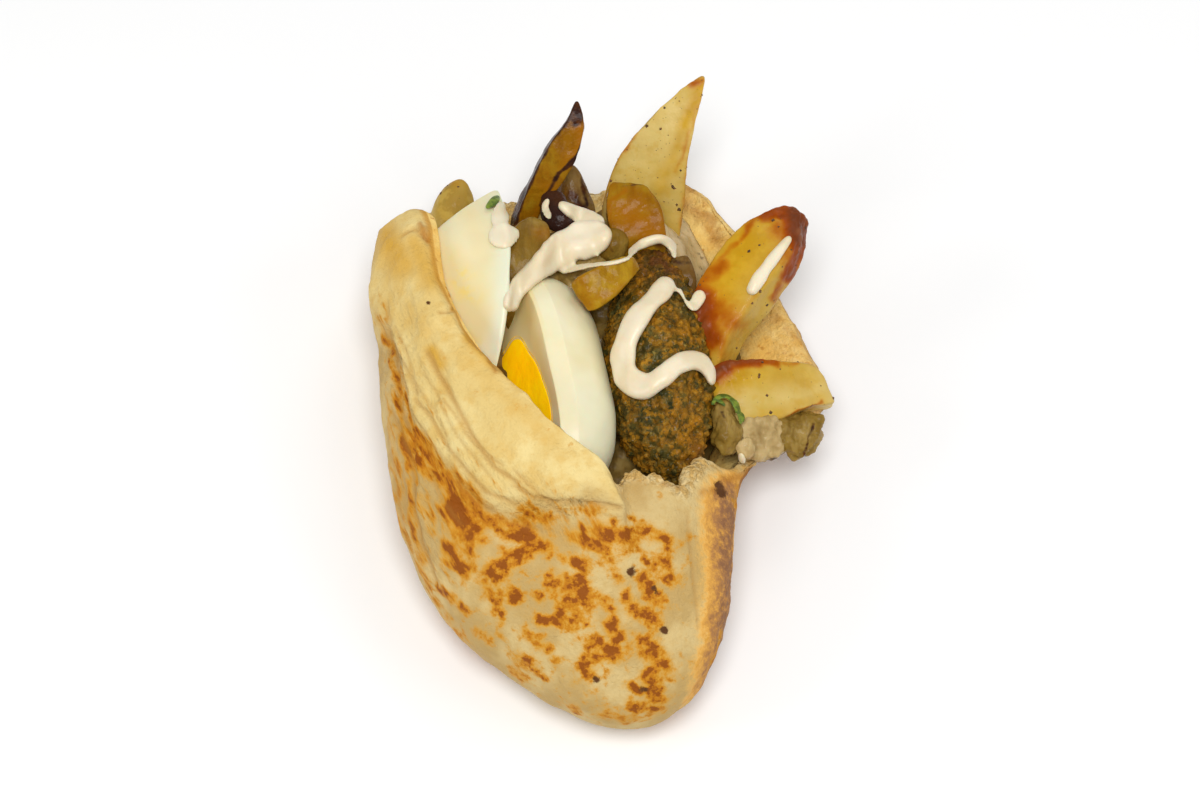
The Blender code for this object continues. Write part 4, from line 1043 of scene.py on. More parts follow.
potatoGrid = dict(columns=190, rings=170)
potatoSkin = dict(
    ripple=((0.5, 12, 2, 74), (0.14, 3.5, 3, 75)), crustGrain=((0.25, 2.5, 2, 77),),
    stir=((2, 4, 2, 71),), edgeBrown=0.65, edgeNoise=((0.5, 9, 2, 72),), tipNoise=((0.5, 7, 2, 73),),
    tipFade=(0.3, 1.2), cornerWear=0.25, wearNoise=(6, 2, 76), wearSpread=0.6,
    blisterSize=3.6, blisterHeight=0.55, blisterRound=(0.12, 0.55), blistered=(0.55, 0.9),
)
potatoes = dict(
    potato_tall=dict(
        line=((29.5, 97, 52), (25, 91.5, 48), (19.5, 84.5, 42), (15, 77.5, 34), (12.5, 70, 26), (10.5, 61, 17),
              (10, 49, 12.5)), width=(7, 12, 17, 21, 23, 23, 20), depth=(5, 9, 12, 13, 13, 11, 8),
        flats=((85, 0.5), (205, 0.75), (330, 0.7)), ends=(2.2, 3), crisp=14, edge=0.42, tip=0.12,
        tipLength=0.05,
        crust=((706, 78, 692, 84, 6, .4), (640, 128, 606, 172, 3, .35), (700, 100, 676, 172, 3, .3)),
        golden=((700, 90, 684, 125, 7, .9), (684, 125, 672, 160, 6, .6), (672, 160, 655, 200, 8, .5)),
        olive=((604, 180, 600, 215, 12, .5), (618, 200, 650, 215, 10, .35))),
    potato_right=dict(
        line=((55, 57, 44), (48, 46, 42), (38.5, 34, 39), (32, 23, 35), (29, 14.5, 30), (28, 4.5, 24)),
        width=(13, 18, 18.5, 16.5, 13.5, 11), depth=(12, 17, 18, 17, 16, 14),
        flats=((70, 0.8), (150, 0.95), (230, 0.9), (330, 0.9)), ends=(3.2, 3), crisp=14, edge=0.3, tip=0.85,
        tipLength=0.12,
        crust=((700, 298, 706, 334, 20, .78), (714, 304, 730, 322, 18, .5), (704, 282, 722, 264, 11, .5),
               (696, 312, 703, 350, 9, .75), (794, 214, 801, 240, 15, 1.0), (764, 215, 786, 209, 9, .72),
               (800, 252, 788, 276, 9, .8), (778, 226, 790, 256, 17, .45), (781, 286, 774, 300, 6, .5),
               (738, 243, 718, 260, 4, .45), (757, 216, 741, 240, 4, .45), (716, 330, 722, 352, 10, .4)),
        golden=((745, 240, 715, 300, 40, 1), (715, 300, 715, 345, 26, .9), (765, 225, 752, 275, 26, .8)),
        olive=((748, 322, 728, 350, 7, .35),)),
    potato_low=dict(
        line=((63.0, 11.5, 24), (56, 10.8, 25), (47, 8, 27), (37.5, 5.4, 28), (27.5, 3, 28)),
        width=(11, 13.5, 17.5, 20.5, 20), depth=(12, 16, 18, 19, 18),
        flats=((80, 0.9), (170, 1), (250, 0.9), (350, 1)), ends=(9, 4), crisp=20, edge=0.22, tip=0.1,
        tipLength=0.04, slant=0.5,
        crust=((714, 374, 728, 364, 10, .85), (728, 362, 758, 359, 9, .85), (758, 360, 776, 362, 6, .6),
               (776, 362, 798, 364, 4, .35), (823, 402, 770, 425, 2.5, .5), (770, 425, 738, 438, 3, .6)),
        golden=((716, 388, 742, 376, 14, 1), (760, 374, 805, 378, 14, .6), (745, 425, 820, 398, 7, .5))),
    potato_left=dict(
        line=((-40, 76.5, 30), (-41.5, 71.5, 26), (-43, 63.5, 21), (-43.5, 50, 17)), width=(9, 13, 14, 13),
        depth=(8, 12, 13, 12), ends=(2.4, 2.6), edge=0, tip=0.2, tipLength=0.1,
        crust=((455, 183, 470, 186, 5, .2),), golden=((465, 200, 478, 225, 9, .35),),
        # painted shade: olive darkens the potato tucked in at the back left
        olive=((450, 190, 465, 235, 26, .9),)),
)
seasoned = []       # the finished potatoes, for the pepper


def makePotato(name, sizes):
    # A wedge with flats; browned by its strokes, along its corners and at its tip, blistered where it is browned
    points, k, corner = swept(sizes, **potatoGrid)
    pixels, _ = pictured(points)
    facing = ease(0, 0.2, normalsOf(points) @ -forward)
    browned = marked(pixels + bumpy(points, potatoSkin["stir"])[..., None], sizes["crust"]) * facing
    alongEdge = sizes["edge"] * corner * (potatoSkin["edgeBrown"] + bumpy(points, potatoSkin["edgeNoise"]))
    fromTip = k / sizes["tipLength"] + bumpy(points, potatoSkin["tipNoise"])
    atTip = sizes["tip"] * (1 - ease(*potatoSkin["tipFade"], fromTip))
    browned = np.maximum(np.maximum(browned, alongEdge), atTip)
    blisters = 1 - ease(*potatoSkin["blisterRound"], lumps(points, potatoSkin["blisterSize"], 7)[0])
    blisters = blisters * ease(*potatoSkin["blistered"], browned)
    relief = bumpy(points, potatoSkin["ripple"]) + browned * bumpy(points, potatoSkin["crustGrain"])
    relief += potatoSkin["blisterHeight"] * blisters
    wear = hump(0, potatoSkin["wearSpread"], rough(points, *potatoSkin["wearNoise"]))
    relief -= potatoSkin["cornerWear"] * corner * wear
    seasoned.append(grown(points, relief))
    # golden is the flesh's own colour; olive is painted shade
    marks = {label: marked(pixels, sizes.get(label, ())) * facing for label in ("golden", "olive")}
    makePiece(name.replace("potato", "wedge"), seasoned[-1:], looks["roastPotato"], [name],
              dict(marks, crust=browned, blister=blisters))


for name, sizes in potatoes.items():
    makePotato(name, sizes)

aubergineGrid = dict(columns=120, rings=110)
soft = dict(
    facing=(-0.35, -0.1), under=(-0.75, -0.3), underPeel=0.9,   # by the slope to the camera, and to the ground
    uneven=0.4, unevenSize=8, ripple=(0.12, 2.4, 2, 82),
    lump=((1.1, 4.2, 2, 85),), fold=((1.2, 3, 2, 86),),         # of the mushy pieces
    peelStir=((1.2, 4, 2, 83),), amberStir=((3, 5, 2, 84),),
    fullWidth=10,                                               # narrower pieces are less uneven
)
aubergines = dict(
    aubergine_tall=dict(
        line=((-6.5, 87, 54), (-7, 82, 51), (-10.2, 76.5, 46), (-15.3, 71, 39), (-20.3, 65.5, 32),
              (-23.2, 58, 24), (-24, 45, 16)), width=(5, 9.3, 9.2, 6.6, 6, 6.5, 8), depth=(4, 6, 6, 6, 6, 6, 6),
        turn=(0, 10, 20, 10), flats=block, ends=(2.2, 3), look="friedAubergine", slot="fried_aubergine",
        peel=((576, 101, 576, 116, 9, 1), (569, 112, 556, 128, 7, 1), (554, 128, 542, 150, 5, 1),
              (542, 150, 534, 172, 4, 1), (534, 172, 522, 198, 3.5, 1), (522, 198, 513, 222, 3.5, 1),
              (584, 146, 577, 157, 2.5, .9), (577, 158, 558, 173, 2.5, .8), (558, 173, 541, 206, 2.5, .7)),
        amber=((580, 124, 582, 146, 6, .9), (578, 150, 560, 166, 6, .7), (550, 188, 536, 216, 5, .8))),
    aubergine_olive=dict(
        line=((-8.5, 80, 32), (-8, 75, 29), (-6.5, 68, 24), (-5, 57.5, 16)), width=(7, 9.5, 10, 9),
        depth=(6, 8, 8, 8), ends=(2.4, 3), look="brownAubergine",
        peel=((572, 195, 585, 212, 6, .7), (580, 170, 587, 205, 3, .6)), amber=((562, 185, 564, 192, 4, .3),)),
    aubergine_skin=dict(
        line=((-14.5, 72, 36), (-13.5, 65, 37), (-11.5, 58.5, 38), (-8, 55, 36)), width=(4, 7, 9, 6),
        depth=(3, 4, 4, 4), ends=(2.4, 3), look="aubergineSkin", slot="aubergine_peel"),
    aubergine_left=dict(
        line=((-16.5, 55, 42), (-20, 48, 41), (-23, 39.5, 38), (-23, 33, 33), (-23, 27, 27)),
        width=(9, 12, 12, 10, 8), depth=(8, 10, 11, 10, 8), flats=block, ends=(3, 3), look="softAubergine",
        peel=((506, 300, 510, 285, 2.5, .6),), amber=((540, 232, 553, 234, 7, .5),)),
    aubergine_amber=dict(
        line=((7.8, 67, 42), (8.8, 61.5, 40), (11.2, 54, 36), (12.4, 50, 31), (12, 46, 25)),
        width=(10, 15, 15, 12, 10), depth=(6, 8, 10, 9, 8), flats=block, ends=(9, 3), crisp=24, slant=-0.25,
        look="friedAubergine", slot="fried_aubergine",
        peel=((622, 186, 648, 183, 1.6, .4), (654, 240, 664, 250, 5, .45), (640, 232, 656, 246, 6, .35)),
        amber=((625, 212, 648, 232, 16, .9), (618, 236, 636, 240, 8, .6), (608, 220, 611, 204, 4, .9),
               (611, 204, 624, 190, 3.5, .9))),
    aubergine_green=dict(
        line=((0.5, 52.5, 38), (3.5, 48.5, 39), (6.5, 46.5, 37)), width=(8, 10, 8), depth=(6, 7, 6),
        ends=(2.4, 2.4), look="softAubergine", peel=((604, 238, 612, 250, 3, .5),)),
    aubergine_cube=dict(
        line=((-5.5, 28.5, 44), (-2.0, 30.3, 45.5), (4, 34.5, 46.5), (10, 38.5, 46)),
        width=(10.5, 10, 7.5, 5.5), depth=(8, 9, 9, 7), flats=block, ends=(7, 4), crisp=14,
        look="yellowAubergine", amber=((578, 275, 590, 304, 6, .5), (592, 300, 634, 284, 4, .4))),
    aubergine_brown=dict(
        line=((22.5, 46.5, 36), (23.5, 40, 35), (24.5, 34, 32)), width=(5.5, 6.5, 5.5), depth=(5, 6, 6),
        flats=block, ends=(4, 3), look="brownAubergine", slot="fried_aubergine",
        peel=((674, 262, 692, 262, 4, .4),)),
    aubergine_grey=dict(
        line=((33.5, 1, 35), (34, -6, 35), (35, -13, 31)), width=(6, 8.5, 9), depth=(6, 8, 8), ends=(3, 2.5),
        uneven=1.2, mush=0.6, look="greyAubergine", peel=((722, 412, 724, 418, 2.5, .5),)),
    aubergine_low=dict(
        line=((55.5, 3, 25), (54.5, -4, 26.5), (51.5, -10, 26.5)), width=(10, 12, 9), depth=(6, 7, 6),
        flats=block, ends=(3, 3), crisp=8, uneven=1.4, mush=0.7, look="greyAubergine",
        peel=((813, 425, 803, 458, 2, .6), (803, 460, 786, 462, 2, .5))),
    aubergine_mash=dict(
        line=((36.5, -7.5, 29), (43, -7.2, 29), (50, -5.5, 27.5)), width=(9, 11.5, 10), depth=(6, 7, 6),
        flats=block, ends=(3, 3), crisp=6, uneven=1.6, mush=0.7, look="paleAubergine"),
    onion=dict(
        line=((37, -12.5, 35), (40, -13, 34.5), (42.5, -12.5, 33)), width=(4.5, 6, 4.5), depth=(3, 4, 3),
        ends=(2.4, 2.4), uneven=0.9, mush=0.5, look="paleAubergine", amber=((748, 462, 758, 458, 4, .3),)),
)


def makeAubergine(name, sizes):
    # A soft piece, with folds where it is mushy, amber and peel by their strokes, and peel on its underside
    points, k, _ = swept(sizes, **aubergineGrid)
    pixels, _ = pictured(points)
    outward = normalsOf(points)
    facing = ease(*soft["facing"], outward @ -forward)
    uneven = sizes.get("uneven", soft["uneven"])
    relief = bumpy(points, ((uneven, soft["unevenSize"], 2, 81), soft["ripple"]))
    if sizes.get("mush"):
        relief += sizes["mush"] * (bumpy(points, soft["lump"]) - np.abs(bumpy(points, soft["fold"])))
    peel = marked(pixels + bumpy(points, soft["peelStir"])[..., None], sizes.get("peel", ())) * facing
    under = (1 - ease(*soft["under"], outward[..., 2])) * ease(0, 0.05, k * (1 - k))
    amber = marked(pixels + bumpy(points, soft["amberStir"])[..., None], sizes.get("amber", ())) * facing
    grid = grown(points, relief * min(1, sizes["width"][1] / soft["fullWidth"]))
    makePiece("piece_" + name.replace("aubergine_", ""), [grid], looks[sizes["look"]],
              [name],
              dict(peel=np.maximum(peel, soft["underPeel"] * under), amber=amber))


for name, sizes in aubergines.items():
    makeAubergine(name, sizes)
print("falafel, potato and aubergine made")

egg = dict(
    middle=(-21.0, 7.0, 30.2), long=(-0.19, 0.982, 0.0), normal=(-0.89, -0.173, 0.423), up=(0.415, 0.08, 0.906),
    halfLength=33.5, radius=21.2, taper=0.07, endSquareness=0.66, sideSquareness=0.70, face=1.0, back=-17.0,
    backSquareness=3.4,
    ridge=2.6, ridgeDrop=4.6,                                   # the flat strip beside the cut: width, drop
    dish=0.5,                                                   # how far the middle of the cut is hollow
    stops=(0, 0.36, 0.44, 0.82, 1),                             # of the profile: middle, ridge, strip, side, back
    cutRipple=0.12,                                             # the cut is smoother: its share of the ripple
    columns=260, rings=200, ripple=((0.35, 16, 2, 91), (0.06, 4, 2, 92)),
    yolkMiddle=(-4.0, -2.0), yolkDeep=13.0, yolkCrown=0.30, yolkColumns=140, yolkRings=100,
    yolkRipple=((0.12, 3, 3, 93),),
    # the yolk's outline: angles and radii
    yolkRim=((0, 10, 18, 42, 66, 92, 132, 180, 225, 270, 305, 335, 354, 360),
             (20, 20.5, 20.2, 16.1, 15.3, 15.7, 21, 21, 19, 17, 19.5, 20.2, 19.8, 20)),
    # painted shade: warm gives the shaded cut face beside the yolk its beige; painted light: cool whitens the
    # outer side that faces away from the key lamp
    warm=((524, 296, 530, 320, 10, .9), (530, 320, 550, 400, 7, .8)),
    coolPaintedLight=((590, 400, 600, 440, 22, .5), (545, 300, 560, 330, 8, .3)),
)
axes = np.array([egg["long"], egg["up"], egg["normal"]])


def eggOutline(angle, off):
    # Radius of the egg in the plane of the cut, off mm behind the middle: the long outline, less by the depth
    polar = np.arctan2(np.abs(np.sin(angle)), np.cos(angle))
    c, s = np.cos(polar), np.sin(polar)
    x = egg["halfLength"] * np.sign(c) * np.abs(c) ** egg["endSquareness"]
    r = egg["radius"] * s ** egg["sideSquareness"] * (1 - egg["taper"] * c)
    shrink = (1 - np.abs(off / egg["radius"]) ** egg["backSquareness"]) ** (1 / egg["backSquareness"])
    return x * shrink, np.sign(np.sin(angle)) * r * shrink


def fromCut(x, y, off):
    # Point of the model: the egg's middle and so far along, across and out of its cut
    return np.array(egg["middle"]) + np.stack([x, y, off], -1) @ axes


def makeCutEgg():
    # The white: from the middle of the cut out to the ridge, down the flat strip, round the outside, to the back
    v, degrees = gridOf(egg["rings"], egg["columns"])
    face, back, flat = egg["face"], egg["back"], egg["cutRipple"]
    off = np.interp(v, egg["stops"], (face, face, face - egg["ridgeDrop"], back, back))
    share = np.interp(v, egg["stops"], (0, 1, 1, 1, 0))
    x, y = eggOutline(np.radians(degrees), np.minimum(off, 0))
    inward = egg["ridge"] * np.interp(v, (0.3, 0.36, 0.44), (1, 1, 0))
    size = np.maximum(np.hypot(x, y), 1e-6)
    x, y = x * (1 - inward / size) * share, y * (1 - inward / size) * share
    points = fromCut(x, y, off - egg["dish"] * (1 - share) * (v < 0.4))
    relief = bumpy(points, egg["ripple"]) * (flat + (1 - flat) * ease(0.33, 0.4, v))
    pixels, _ = pictured(points)
    makePiece("cutEggWhite", [grown(points, relief)], looks["boiledEggWhite"], ["egg_right_white"],
              dict(warm=marked(pixels, egg["warm"]) * (v < 0.38), coolPaintedLight=marked(pixels, egg["coolPaintedLight"]), smear=0 * v))

    # The yolk: an oval bowl with a nearly flat top, level with the cut
    v, degrees = gridOf(egg["yolkRings"], egg["yolkColumns"])
    share = np.interp(v, (0, 0.5, 0.56, 1), (0, 0.97, 1, 0.0))
    bowl = -egg["yolkDeep"] * np.sqrt(np.maximum(1 - share**2, 0))
    deep = np.where(v < 0.5, egg["yolkCrown"] - 0.28 * share**2, bowl)
    rim, angle = share * through(*egg["yolkRim"], degrees), np.radians(degrees)
    x, y = rim * np.cos(angle) + egg["yolkMiddle"][0], rim * np.sin(angle) + egg["yolkMiddle"][1]
    points = fromCut(x, y, egg["face"] + deep)
    grid = grown(points, bumpy(points, egg["yolkRipple"]))
    makePiece("cutEggYolk", [grid], looks["boiledYolk"], ["egg_right_yolk"])


makeCutEgg()

leftEgg = dict(
    line=((-29.3, 65.5, 41), (-32.7, 53.5, 42), (-36.5, 37, 40), (-37.5, 19.5, 35), (-36, 2, 29)),
    width=(8, 17.5, 22, 21.5, 19), depth=(5, 14, 20, 20, 16), face=(-0.35, -0.35, 0.8),
    flats=((90, 0.75), (215, 0.8), (325, 0.8)), ends=(1.9, 2.5), crisp=12,
    columns=220, rings=200, ripple=((0.3, 14, 2, 95),),
    # painted light: cool gives the strip on the right side its bluish white, as of light shining through a thin
    # edge
    coolPaintedLight=((508, 240, 503, 300, 11, .9), (503, 300, 496, 350, 8, .9)),
    warm=((450, 260, 475, 320, 22, .5), (470, 215, 480, 250, 14, .4)),
    smear=((458, 272, 470, 296, 10, .7), (452, 262, 455, 280, 5, .6), (468, 335, 480, 345, 5, .4)),
)


def makeLeftEgg():
    # A piece with three flats, hardly uneven
    points, *_ = swept(leftEgg, leftEgg["columns"], leftEgg["rings"])
    pixels, _ = pictured(points)
    marks = {label: marked(pixels, leftEgg[label]) for label in ("warm", "coolPaintedLight", "smear")}
    grid = grown(points, bumpy(points, leftEgg["ripple"]))
    makePiece("leftEggWhite", [grid], looks["boiledEggWhite"], ["egg_left"], marks)


makeLeftEgg()
print("eggs made")

stuffing = dict(
    inset=7.2, side=0.6, middle=(2.0, 30.0), top=25.0,
    heaps=((-5.0, 47.0, 19.0, 15.0, 15.0), (21.0, 59.0, 9.0, 11.0, 10.0)),      # x, y, across, along, height
    reach=((0, 10, 30, 60, 90, 120, 150, 180, 210, 240, 270, 286, 300, 322, 335, 347, 360),
           (62, 56, 48, 46, 50, 70, 108, 138, 156, 168, 179, 187, 181, 147, 116, 90, 62)),
    pale=((668, 206, 682, 250, 20, 1), (688, 236, 698, 262, 18, 1), (680, 268, 690, 284, 12, .8)),
    columns=260, rings=190,
    lumpSizes=(7, 3), lumpHeights=(2.2, 1.5), ripple=((0.8, 12, 2, 14),),
    lumpyFrom=(0.45, 0.62), paleFrom=(0.5, 0.6), deepFrom=(0.5, 0.7),           # by the part of the way
    deepBelow=(20, 30), deepShare=0.7,                                          # painted shade between pieces: heights, and its strength
)


def makeStuffing():
    # Up the inside of the bread, then over the top to its middle, with two heaps on it, lumpy where it can be seen
    v, angle = gridOf(stuffing["rings"], stuffing["columns"])
    reach = through(*stuffing["reach"], angle)
    start = bread["hollowStart"] + stuffing["inset"]
    along = start + (reach - start) * np.clip(v / stuffing["side"], 0, 1)
    wall = sectionPoint(angle, along, stuffing["inset"], rounded(along, start))
    wall = wall + towardsMouth(angle, mouthReach(angle) - along)
    edge = sectionPoint(angle, reach, stuffing["inset"]) + towardsMouth(angle, mouthReach(angle) - reach)
    over = np.clip((v - stuffing["side"]) / (1 - stuffing["side"]), 0, 1)
    top = edge * (1 - over[..., None]) + np.array([*stuffing["middle"], stuffing["top"]]) * over[..., None]
    level = stuffing["top"] + sum(height * hump(x, wide, top[..., 0]) * hump(y, long, top[..., 1])
                                  for x, y, wide, long, height in stuffing["heaps"])
    raising = ease(0, 0.4, over)
    top[..., 2] = edge[..., 2] * (1 - raising) + level * raising
    points = np.where((over > 0)[..., None], top, wall)
    (wide, own), (small, ownSmall) = (lumps(points, size, 12 + i) for i, size in enumerate(stuffing["lumpSizes"]))
    wideHeight, smallHeight = stuffing["lumpHeights"]
    relief = wideHeight * (0.6 - wide) + smallHeight * (0.5 - small) + bumpy(points, stuffing["ripple"])
    pale = marked(pictured(points)[0], stuffing["pale"]) * ease(*stuffing["paleFrom"], v)
    # painted shade: the lower the mash lies, the darker it is, where shade falls between the pieces, but not on
    # the pale mash
    low = 1 - ease(*stuffing["deepBelow"], points[..., 2])
    deep = stuffing["deepShare"] * low * ease(*stuffing["deepFrom"], v) * (1 - pale)
    grid = grown(points, relief * ease(*stuffing["lumpyFrom"], v))
    makePiece("looseStuffing", [grid], looks["mash"], ["stuffing"],
              dict(own=np.clip(0.6 * own + 0.4 * ownSmall, 0, 1), deep=deep, pale=pale))


makeStuffing()
print("stuffing made")

# What lies on top is draped over everything made so far
draping = dict(
    cell=3.0, softening=5,                      # the depth map's cells in pixels, and how often it is smoothed
    farthest=camera["distance"] + 60,           # its depth where there is nothing
    sideDrop=2.4,                               # how far a strip's sides may fall beside its middle, mm
    swell=0.13, swellLength=11, ripple=0.12,    # uneven width and thickness
)


def depthMap(grids):
    # Nearest depth in each cell of the picture, spread to its neighbours so that no gap shows what is behind
    rows, columns = int(camera["tall"] / draping["cell"]), int(camera["wide"] / draping["cell"])
    nearest = np.full((rows, columns), 1e9)
    for grid in grids:
        pixels, depth = pictured(grid.reshape(-1, 3))
        cell = np.clip((pixels / draping["cell"]).astype(int), 0, (columns - 1, rows - 1))
        np.minimum.at(nearest, (cell[:, 1], cell[:, 0]), depth)
    return np.min([np.roll(nearest, shift, (0, 1)) for shift in np.ndindex(3, 3)], axis=0)


def softened(depths):
    # Each cell's mean with its neighbours, over and over
    depths = np.minimum(np.roll(depths, (-1, -1), (0, 1)), draping["farthest"])
    for _ in range(draping["softening"]):
        depths = sum(np.roll(depths, shift, axis) for axis in (0, 1) for shift in (-1, 0, 1)) / 6
    return depths


def sample(depths, pixels):
    # Depth at a pixel, from the four cells round it
    p = pixels / draping["cell"] - 0.5
    i = np.clip(np.floor(p).astype(int), 0, (depths.shape[1] - 2, depths.shape[0] - 2))
    f = p - i
    x, y = i[..., 0], i[..., 1]
    return ((depths[y, x] * (1 - f[..., 0]) + depths[y, x + 1] * f[..., 0]) * (1 - f[..., 1])
            + (depths[y + 1, x] * (1 - f[..., 0]) + depths[y + 1, x + 1] * f[..., 0]) * f[..., 1])


ground = softened(depthMap(shown))


def ribbon(line, widths, thick, steep=1.1, sink=1.2, columns=36, rings=110):
    # A strip: a half-round section across a smooth line of pixels, laid on the surface below. Its middle falls no
    # steeper than steep to 1, so that it bridges gaps, and its sides stay near its middle's depth
    total, k, a, middle, along = carried(line, rings, columns, 0.002)
    across = np.stack([-along[..., 1], along[..., 0]], -1)
    at = np.stack([k * total / draping["swellLength"], 0 * k, 0 * k], -1) + line[0][0]
    half = spaced(np.array(widths) / 2, k) * (1 + draping["swell"] * rough(at, 1, 2, 103))
    fromEnd = np.minimum(k, 1 - k) * total / np.maximum(half, 1)
    closing = np.sqrt(1 - (1 - np.clip(fromEnd, 0, 1)) ** 2)
    pixels = middle + across * (np.cos(a) * half * closing)[..., None]
    height = np.sin(a)
    lift = np.where(height > 0, thick * np.abs(height) ** 0.5, -sink * np.abs(height)) * closing**0.6
    fall = steep * k * total / pixelsPerMm
    depth = np.minimum.accumulate(sample(ground, middle) - fall) + fall
    depth = np.minimum.accumulate((depth + fall)[::-1])[::-1] - fall
    beside = draping["sideDrop"] * np.tanh((sample(ground, pixels) - depth) / draping["sideDrop"])
    base = inSpace(pixels, depth + beside)
    return base - forward * (lift * (1 + draping["ripple"] * rough(base, 6, 2, 101)))[..., None]


sauce = dict(
    # line in pixels, widths in pixels, thickness in mm, and how steeply it may fall if more than 1.1
    strips=(
        (((558, 203), (566, 208), (577, 214), (590, 221), (604, 229)), (9, 14, 18, 22, 24), 2.6),
        (((612, 232), (602, 235), (588, 239), (572, 244), (556, 254), (543, 265), (531, 275), (519, 287),
          (512, 300), (511, 313)), (26, 36, 39, 36, 33, 29, 23, 20, 20, 18), 4.0),
        (((603, 243), (597, 250), (598, 257)), (12, 9, 4), 1.6),
        (((549, 198), (545, 208), (552, 219)), (5, 9, 6), 1.2),
        (((560, 272), (572, 269), (586, 266), (602, 264), (618, 262), (632, 256)), (8, 8, 6, 5, 5, 6), 1.5, 1.8),
        (((628, 256), (636, 248), (650, 241), (662, 239), (671, 245), (675, 259)),
         (9, 11, 11, 10, 10, 6), 2.1, 2.6),
        (((671, 278), (664, 288), (650, 303), (636, 320), (626, 342), (623, 364), (630, 381), (645, 386),
          (662, 377), (680, 363), (698, 361), (708, 370), (712, 386)),
         (24, 22, 21, 25, 23, 26, 27, 27, 23, 21, 21, 15, 7), 3.4),
        (((678, 288), (683, 296), (687, 304), (692, 309)), (7, 4, 3.5, 5), 0.9),
        (((703, 290), (698, 299), (691, 311)), (11, 14, 11), 1.3),
        (((791, 236), (776, 255), (760, 277), (749, 295)), (7, 12, 14, 12), 2.2),
        (((487, 235), (500, 236), (510, 235), (520, 231)), (17, 26, 24, 14), 1.0),
        (((502, 201), (500, 213), (501, 228)), (9, 19, 30), 1.3),
        (((740, 452), (742, 459), (745, 464)), (7, 9, 7), 1.0)),
    voxel=0.55, smooth=0.5, smoothings=14,
)
strips = [ribbon(*strip) for strip in sauce["strips"]]
poured = makePiece("pouredSauce", strips, looks["whiteSauce"])
fuse = poured.modifiers.new("fuse", "REMESH")
fuse.mode, fuse.voxel_size, fuse.use_smooth_shade = "VOXEL", sauce["voxel"] * metre, True
relax = poured.modifiers.new("relax", "SMOOTH")
relax.factor, relax.iterations = sauce["smooth"], sauce["smoothings"]

herbs = dict(
    # line in pixels, widths in pixels, thickness in mm
    leaves=(
        (((486, 208), (492, 203), (499, 196)), (3, 9, 4), 0.6),
        (((712, 405), (717, 398), (726, 396), (733, 401), (738, 410), (741, 424)), (3, 5, 4, 6, 4, 3), 0.7),
        (((716, 400), (721, 402), (725, 406)), (3, 4, 2), 0.6),
        (((735, 400), (737, 406), (736, 413)), (3, 5, 2), 0.7),
        (((738, 412), (742, 416), (743, 422)), (3, 5, 2), 0.6)),
    shape=dict(sink=0.5, columns=20, rings=40),
)
leaves = [ribbon(*leaf, **herbs["shape"]) for leaf in herbs["leaves"]]
makePiece("choppedHerbs", leaves, looks["greenHerb"])

pepper = dict(counts=(330, 200, 150, 70), radius=0.42, seed=5, flatness=0.6, sizes=(0.3, 1.3), uneven=(0.6, 1.3))


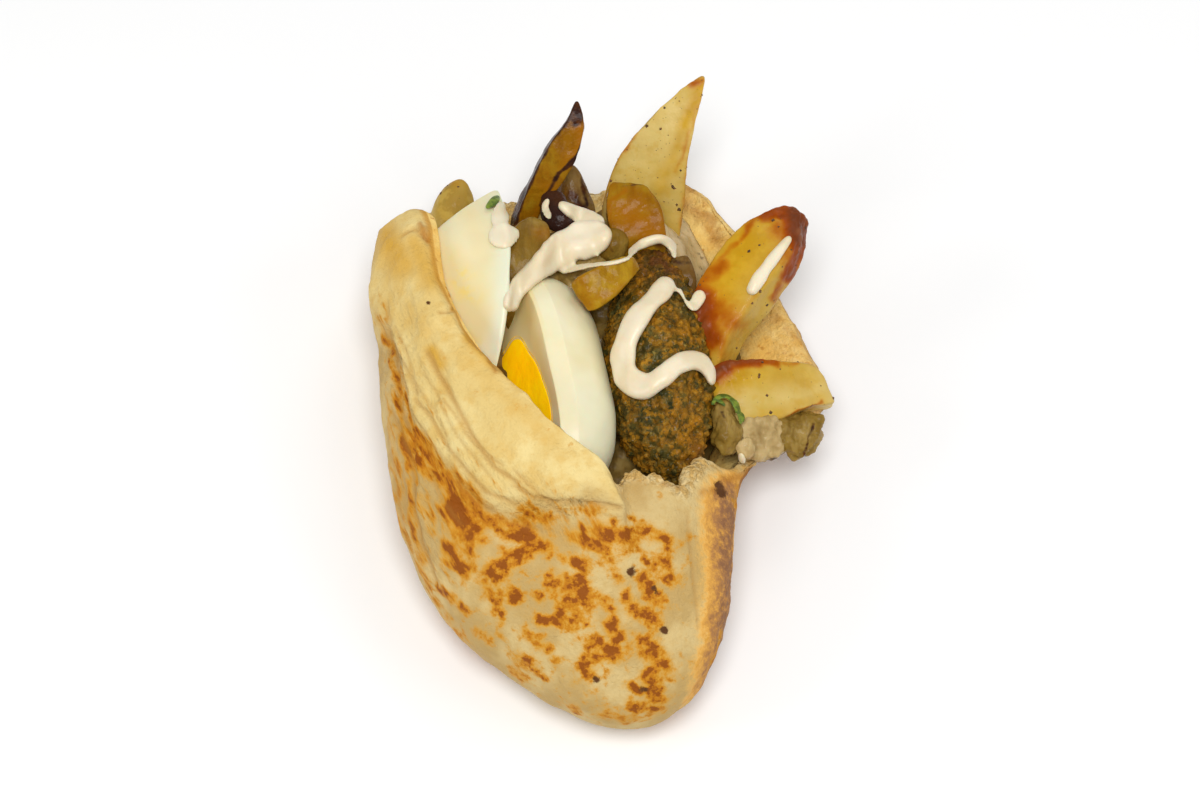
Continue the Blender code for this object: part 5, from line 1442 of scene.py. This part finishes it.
def makePepper():
    # Small eight-sided lumps at scattered places of the potatoes, likelier where the grid's cells are large
    draw = np.random.default_rng(pepper["seed"])
    corner = np.array([(1, 0, 0), (0, 1, 0), (-1, 0, 0), (0, -1, 0), (0, 0, 1), (0, 0, -1)], float)
    face = np.array([(0, 1, 4), (1, 2, 4), (2, 3, 4), (3, 0, 4), (1, 0, 5), (2, 1, 5), (3, 2, 5), (0, 3, 5)])
    spots, outs = [], []
    for grid, count in zip(seasoned, pepper["counts"]):
        area = np.linalg.norm(np.cross(np.roll(grid, -1, 1) - grid, np.gradient(grid, axis=0)), axis=-1).ravel()
        chosen = draw.choice(len(area), count, p=area / area.sum())
        spots.append(grid.reshape(-1, 3)[chosen])
        outs.append(normalsOf(grid).reshape(-1, 3)[chosen])
    spots, outs = np.concatenate(spots), np.concatenate(outs)
    first = unit(np.cross(outs, draw.normal(size=outs.shape)))
    frames = np.stack([first, np.cross(outs, first), outs], 1)
    least, more = pepper["sizes"]
    size = pepper["radius"] * (least + more * draw.random((len(spots), 1, 1)) ** 4)
    size = size * draw.uniform(*pepper["uneven"], (len(spots), 6, 1))
    vertices = spots[:, None] + np.einsum("nij,njk->nik", corner * (1, 1, pepper["flatness"]) * size, frames)
    corners = (face + np.arange(len(spots))[:, None, None] * len(corner)).ravel()
    mesh = meshOf("groundPepper", vertices.reshape(-1, 3), corners, np.full(len(spots) * len(face), 3))
    place(mesh, looks["groundPepper"])


makePepper()
print("sauce, herbs and pepper made")

studio = dict(
    floorHalf=2, world=0.30,
    # place, size, power, in metres and watts
    lamps=dict(
        above=((0.0, -0.30, 0.95), 0.45, 5.7), back=((0.30, 0.65, 0.70), 0.5, 1.3),
        left=((-0.75, -0.15, 0.45), 0.4, 1.7), right=((0.70, -0.20, 0.55), 0.5, 1.3)),
    aim=(0, 0, 0.02),
)
half = studio["floorHalf"]
corners = [(-half, -half, 0), (half, -half, 0), (half, half, 0), (-half, half, 0)]
floor = bpy.data.objects.new("floor", bpy.data.meshes.new("floor"))
floor.data.from_pydata(corners, [], [(0, 1, 2, 3)])
scene.collection.objects.link(floor)
floor.data.materials.append(looks["paleFloor"])

for name, (where, size, power) in studio["lamps"].items():
    lamp = bpy.data.objects.new(name, bpy.data.lights.new(name, "AREA"))
    lamp.data.shape, lamp.data.size, lamp.data.energy = "DISK", size, power
    lamp.location = where
    away = np.array(where) - studio["aim"]
    tilt, turn = math.acos(away[2] / np.linalg.norm(away)), math.atan2(away[1], away[0]) + math.pi / 2
    lamp.rotation_euler = (tilt, 0, turn)
    scene.collection.objects.link(lamp)
world = bpy.data.worlds.new("studio")
world.use_nodes = True
background = world.node_tree.nodes["Background"].inputs
background["Color"].default_value, background["Strength"].default_value = (1, 1, 1, 1), studio["world"]
scene.world = world

shot = bpy.data.objects.new("shot", bpy.data.cameras.new("shot"))
shot.data.lens, shot.data.sensor_width = camera["lens"], camera["sensor"]
shot.data.clip_start, shot.data.clip_end = camera["near"], camera["far"]
shot.location = (eye + toModel) * metre
shot.rotation_euler = (math.radians(90 - camera["elevation"]), 0, 0)
scene.collection.objects.link(shot)
scene.camera = shot
scene.view_settings.view_transform = "Standard"

bpy.context.view_layer.update()
print("stage made")
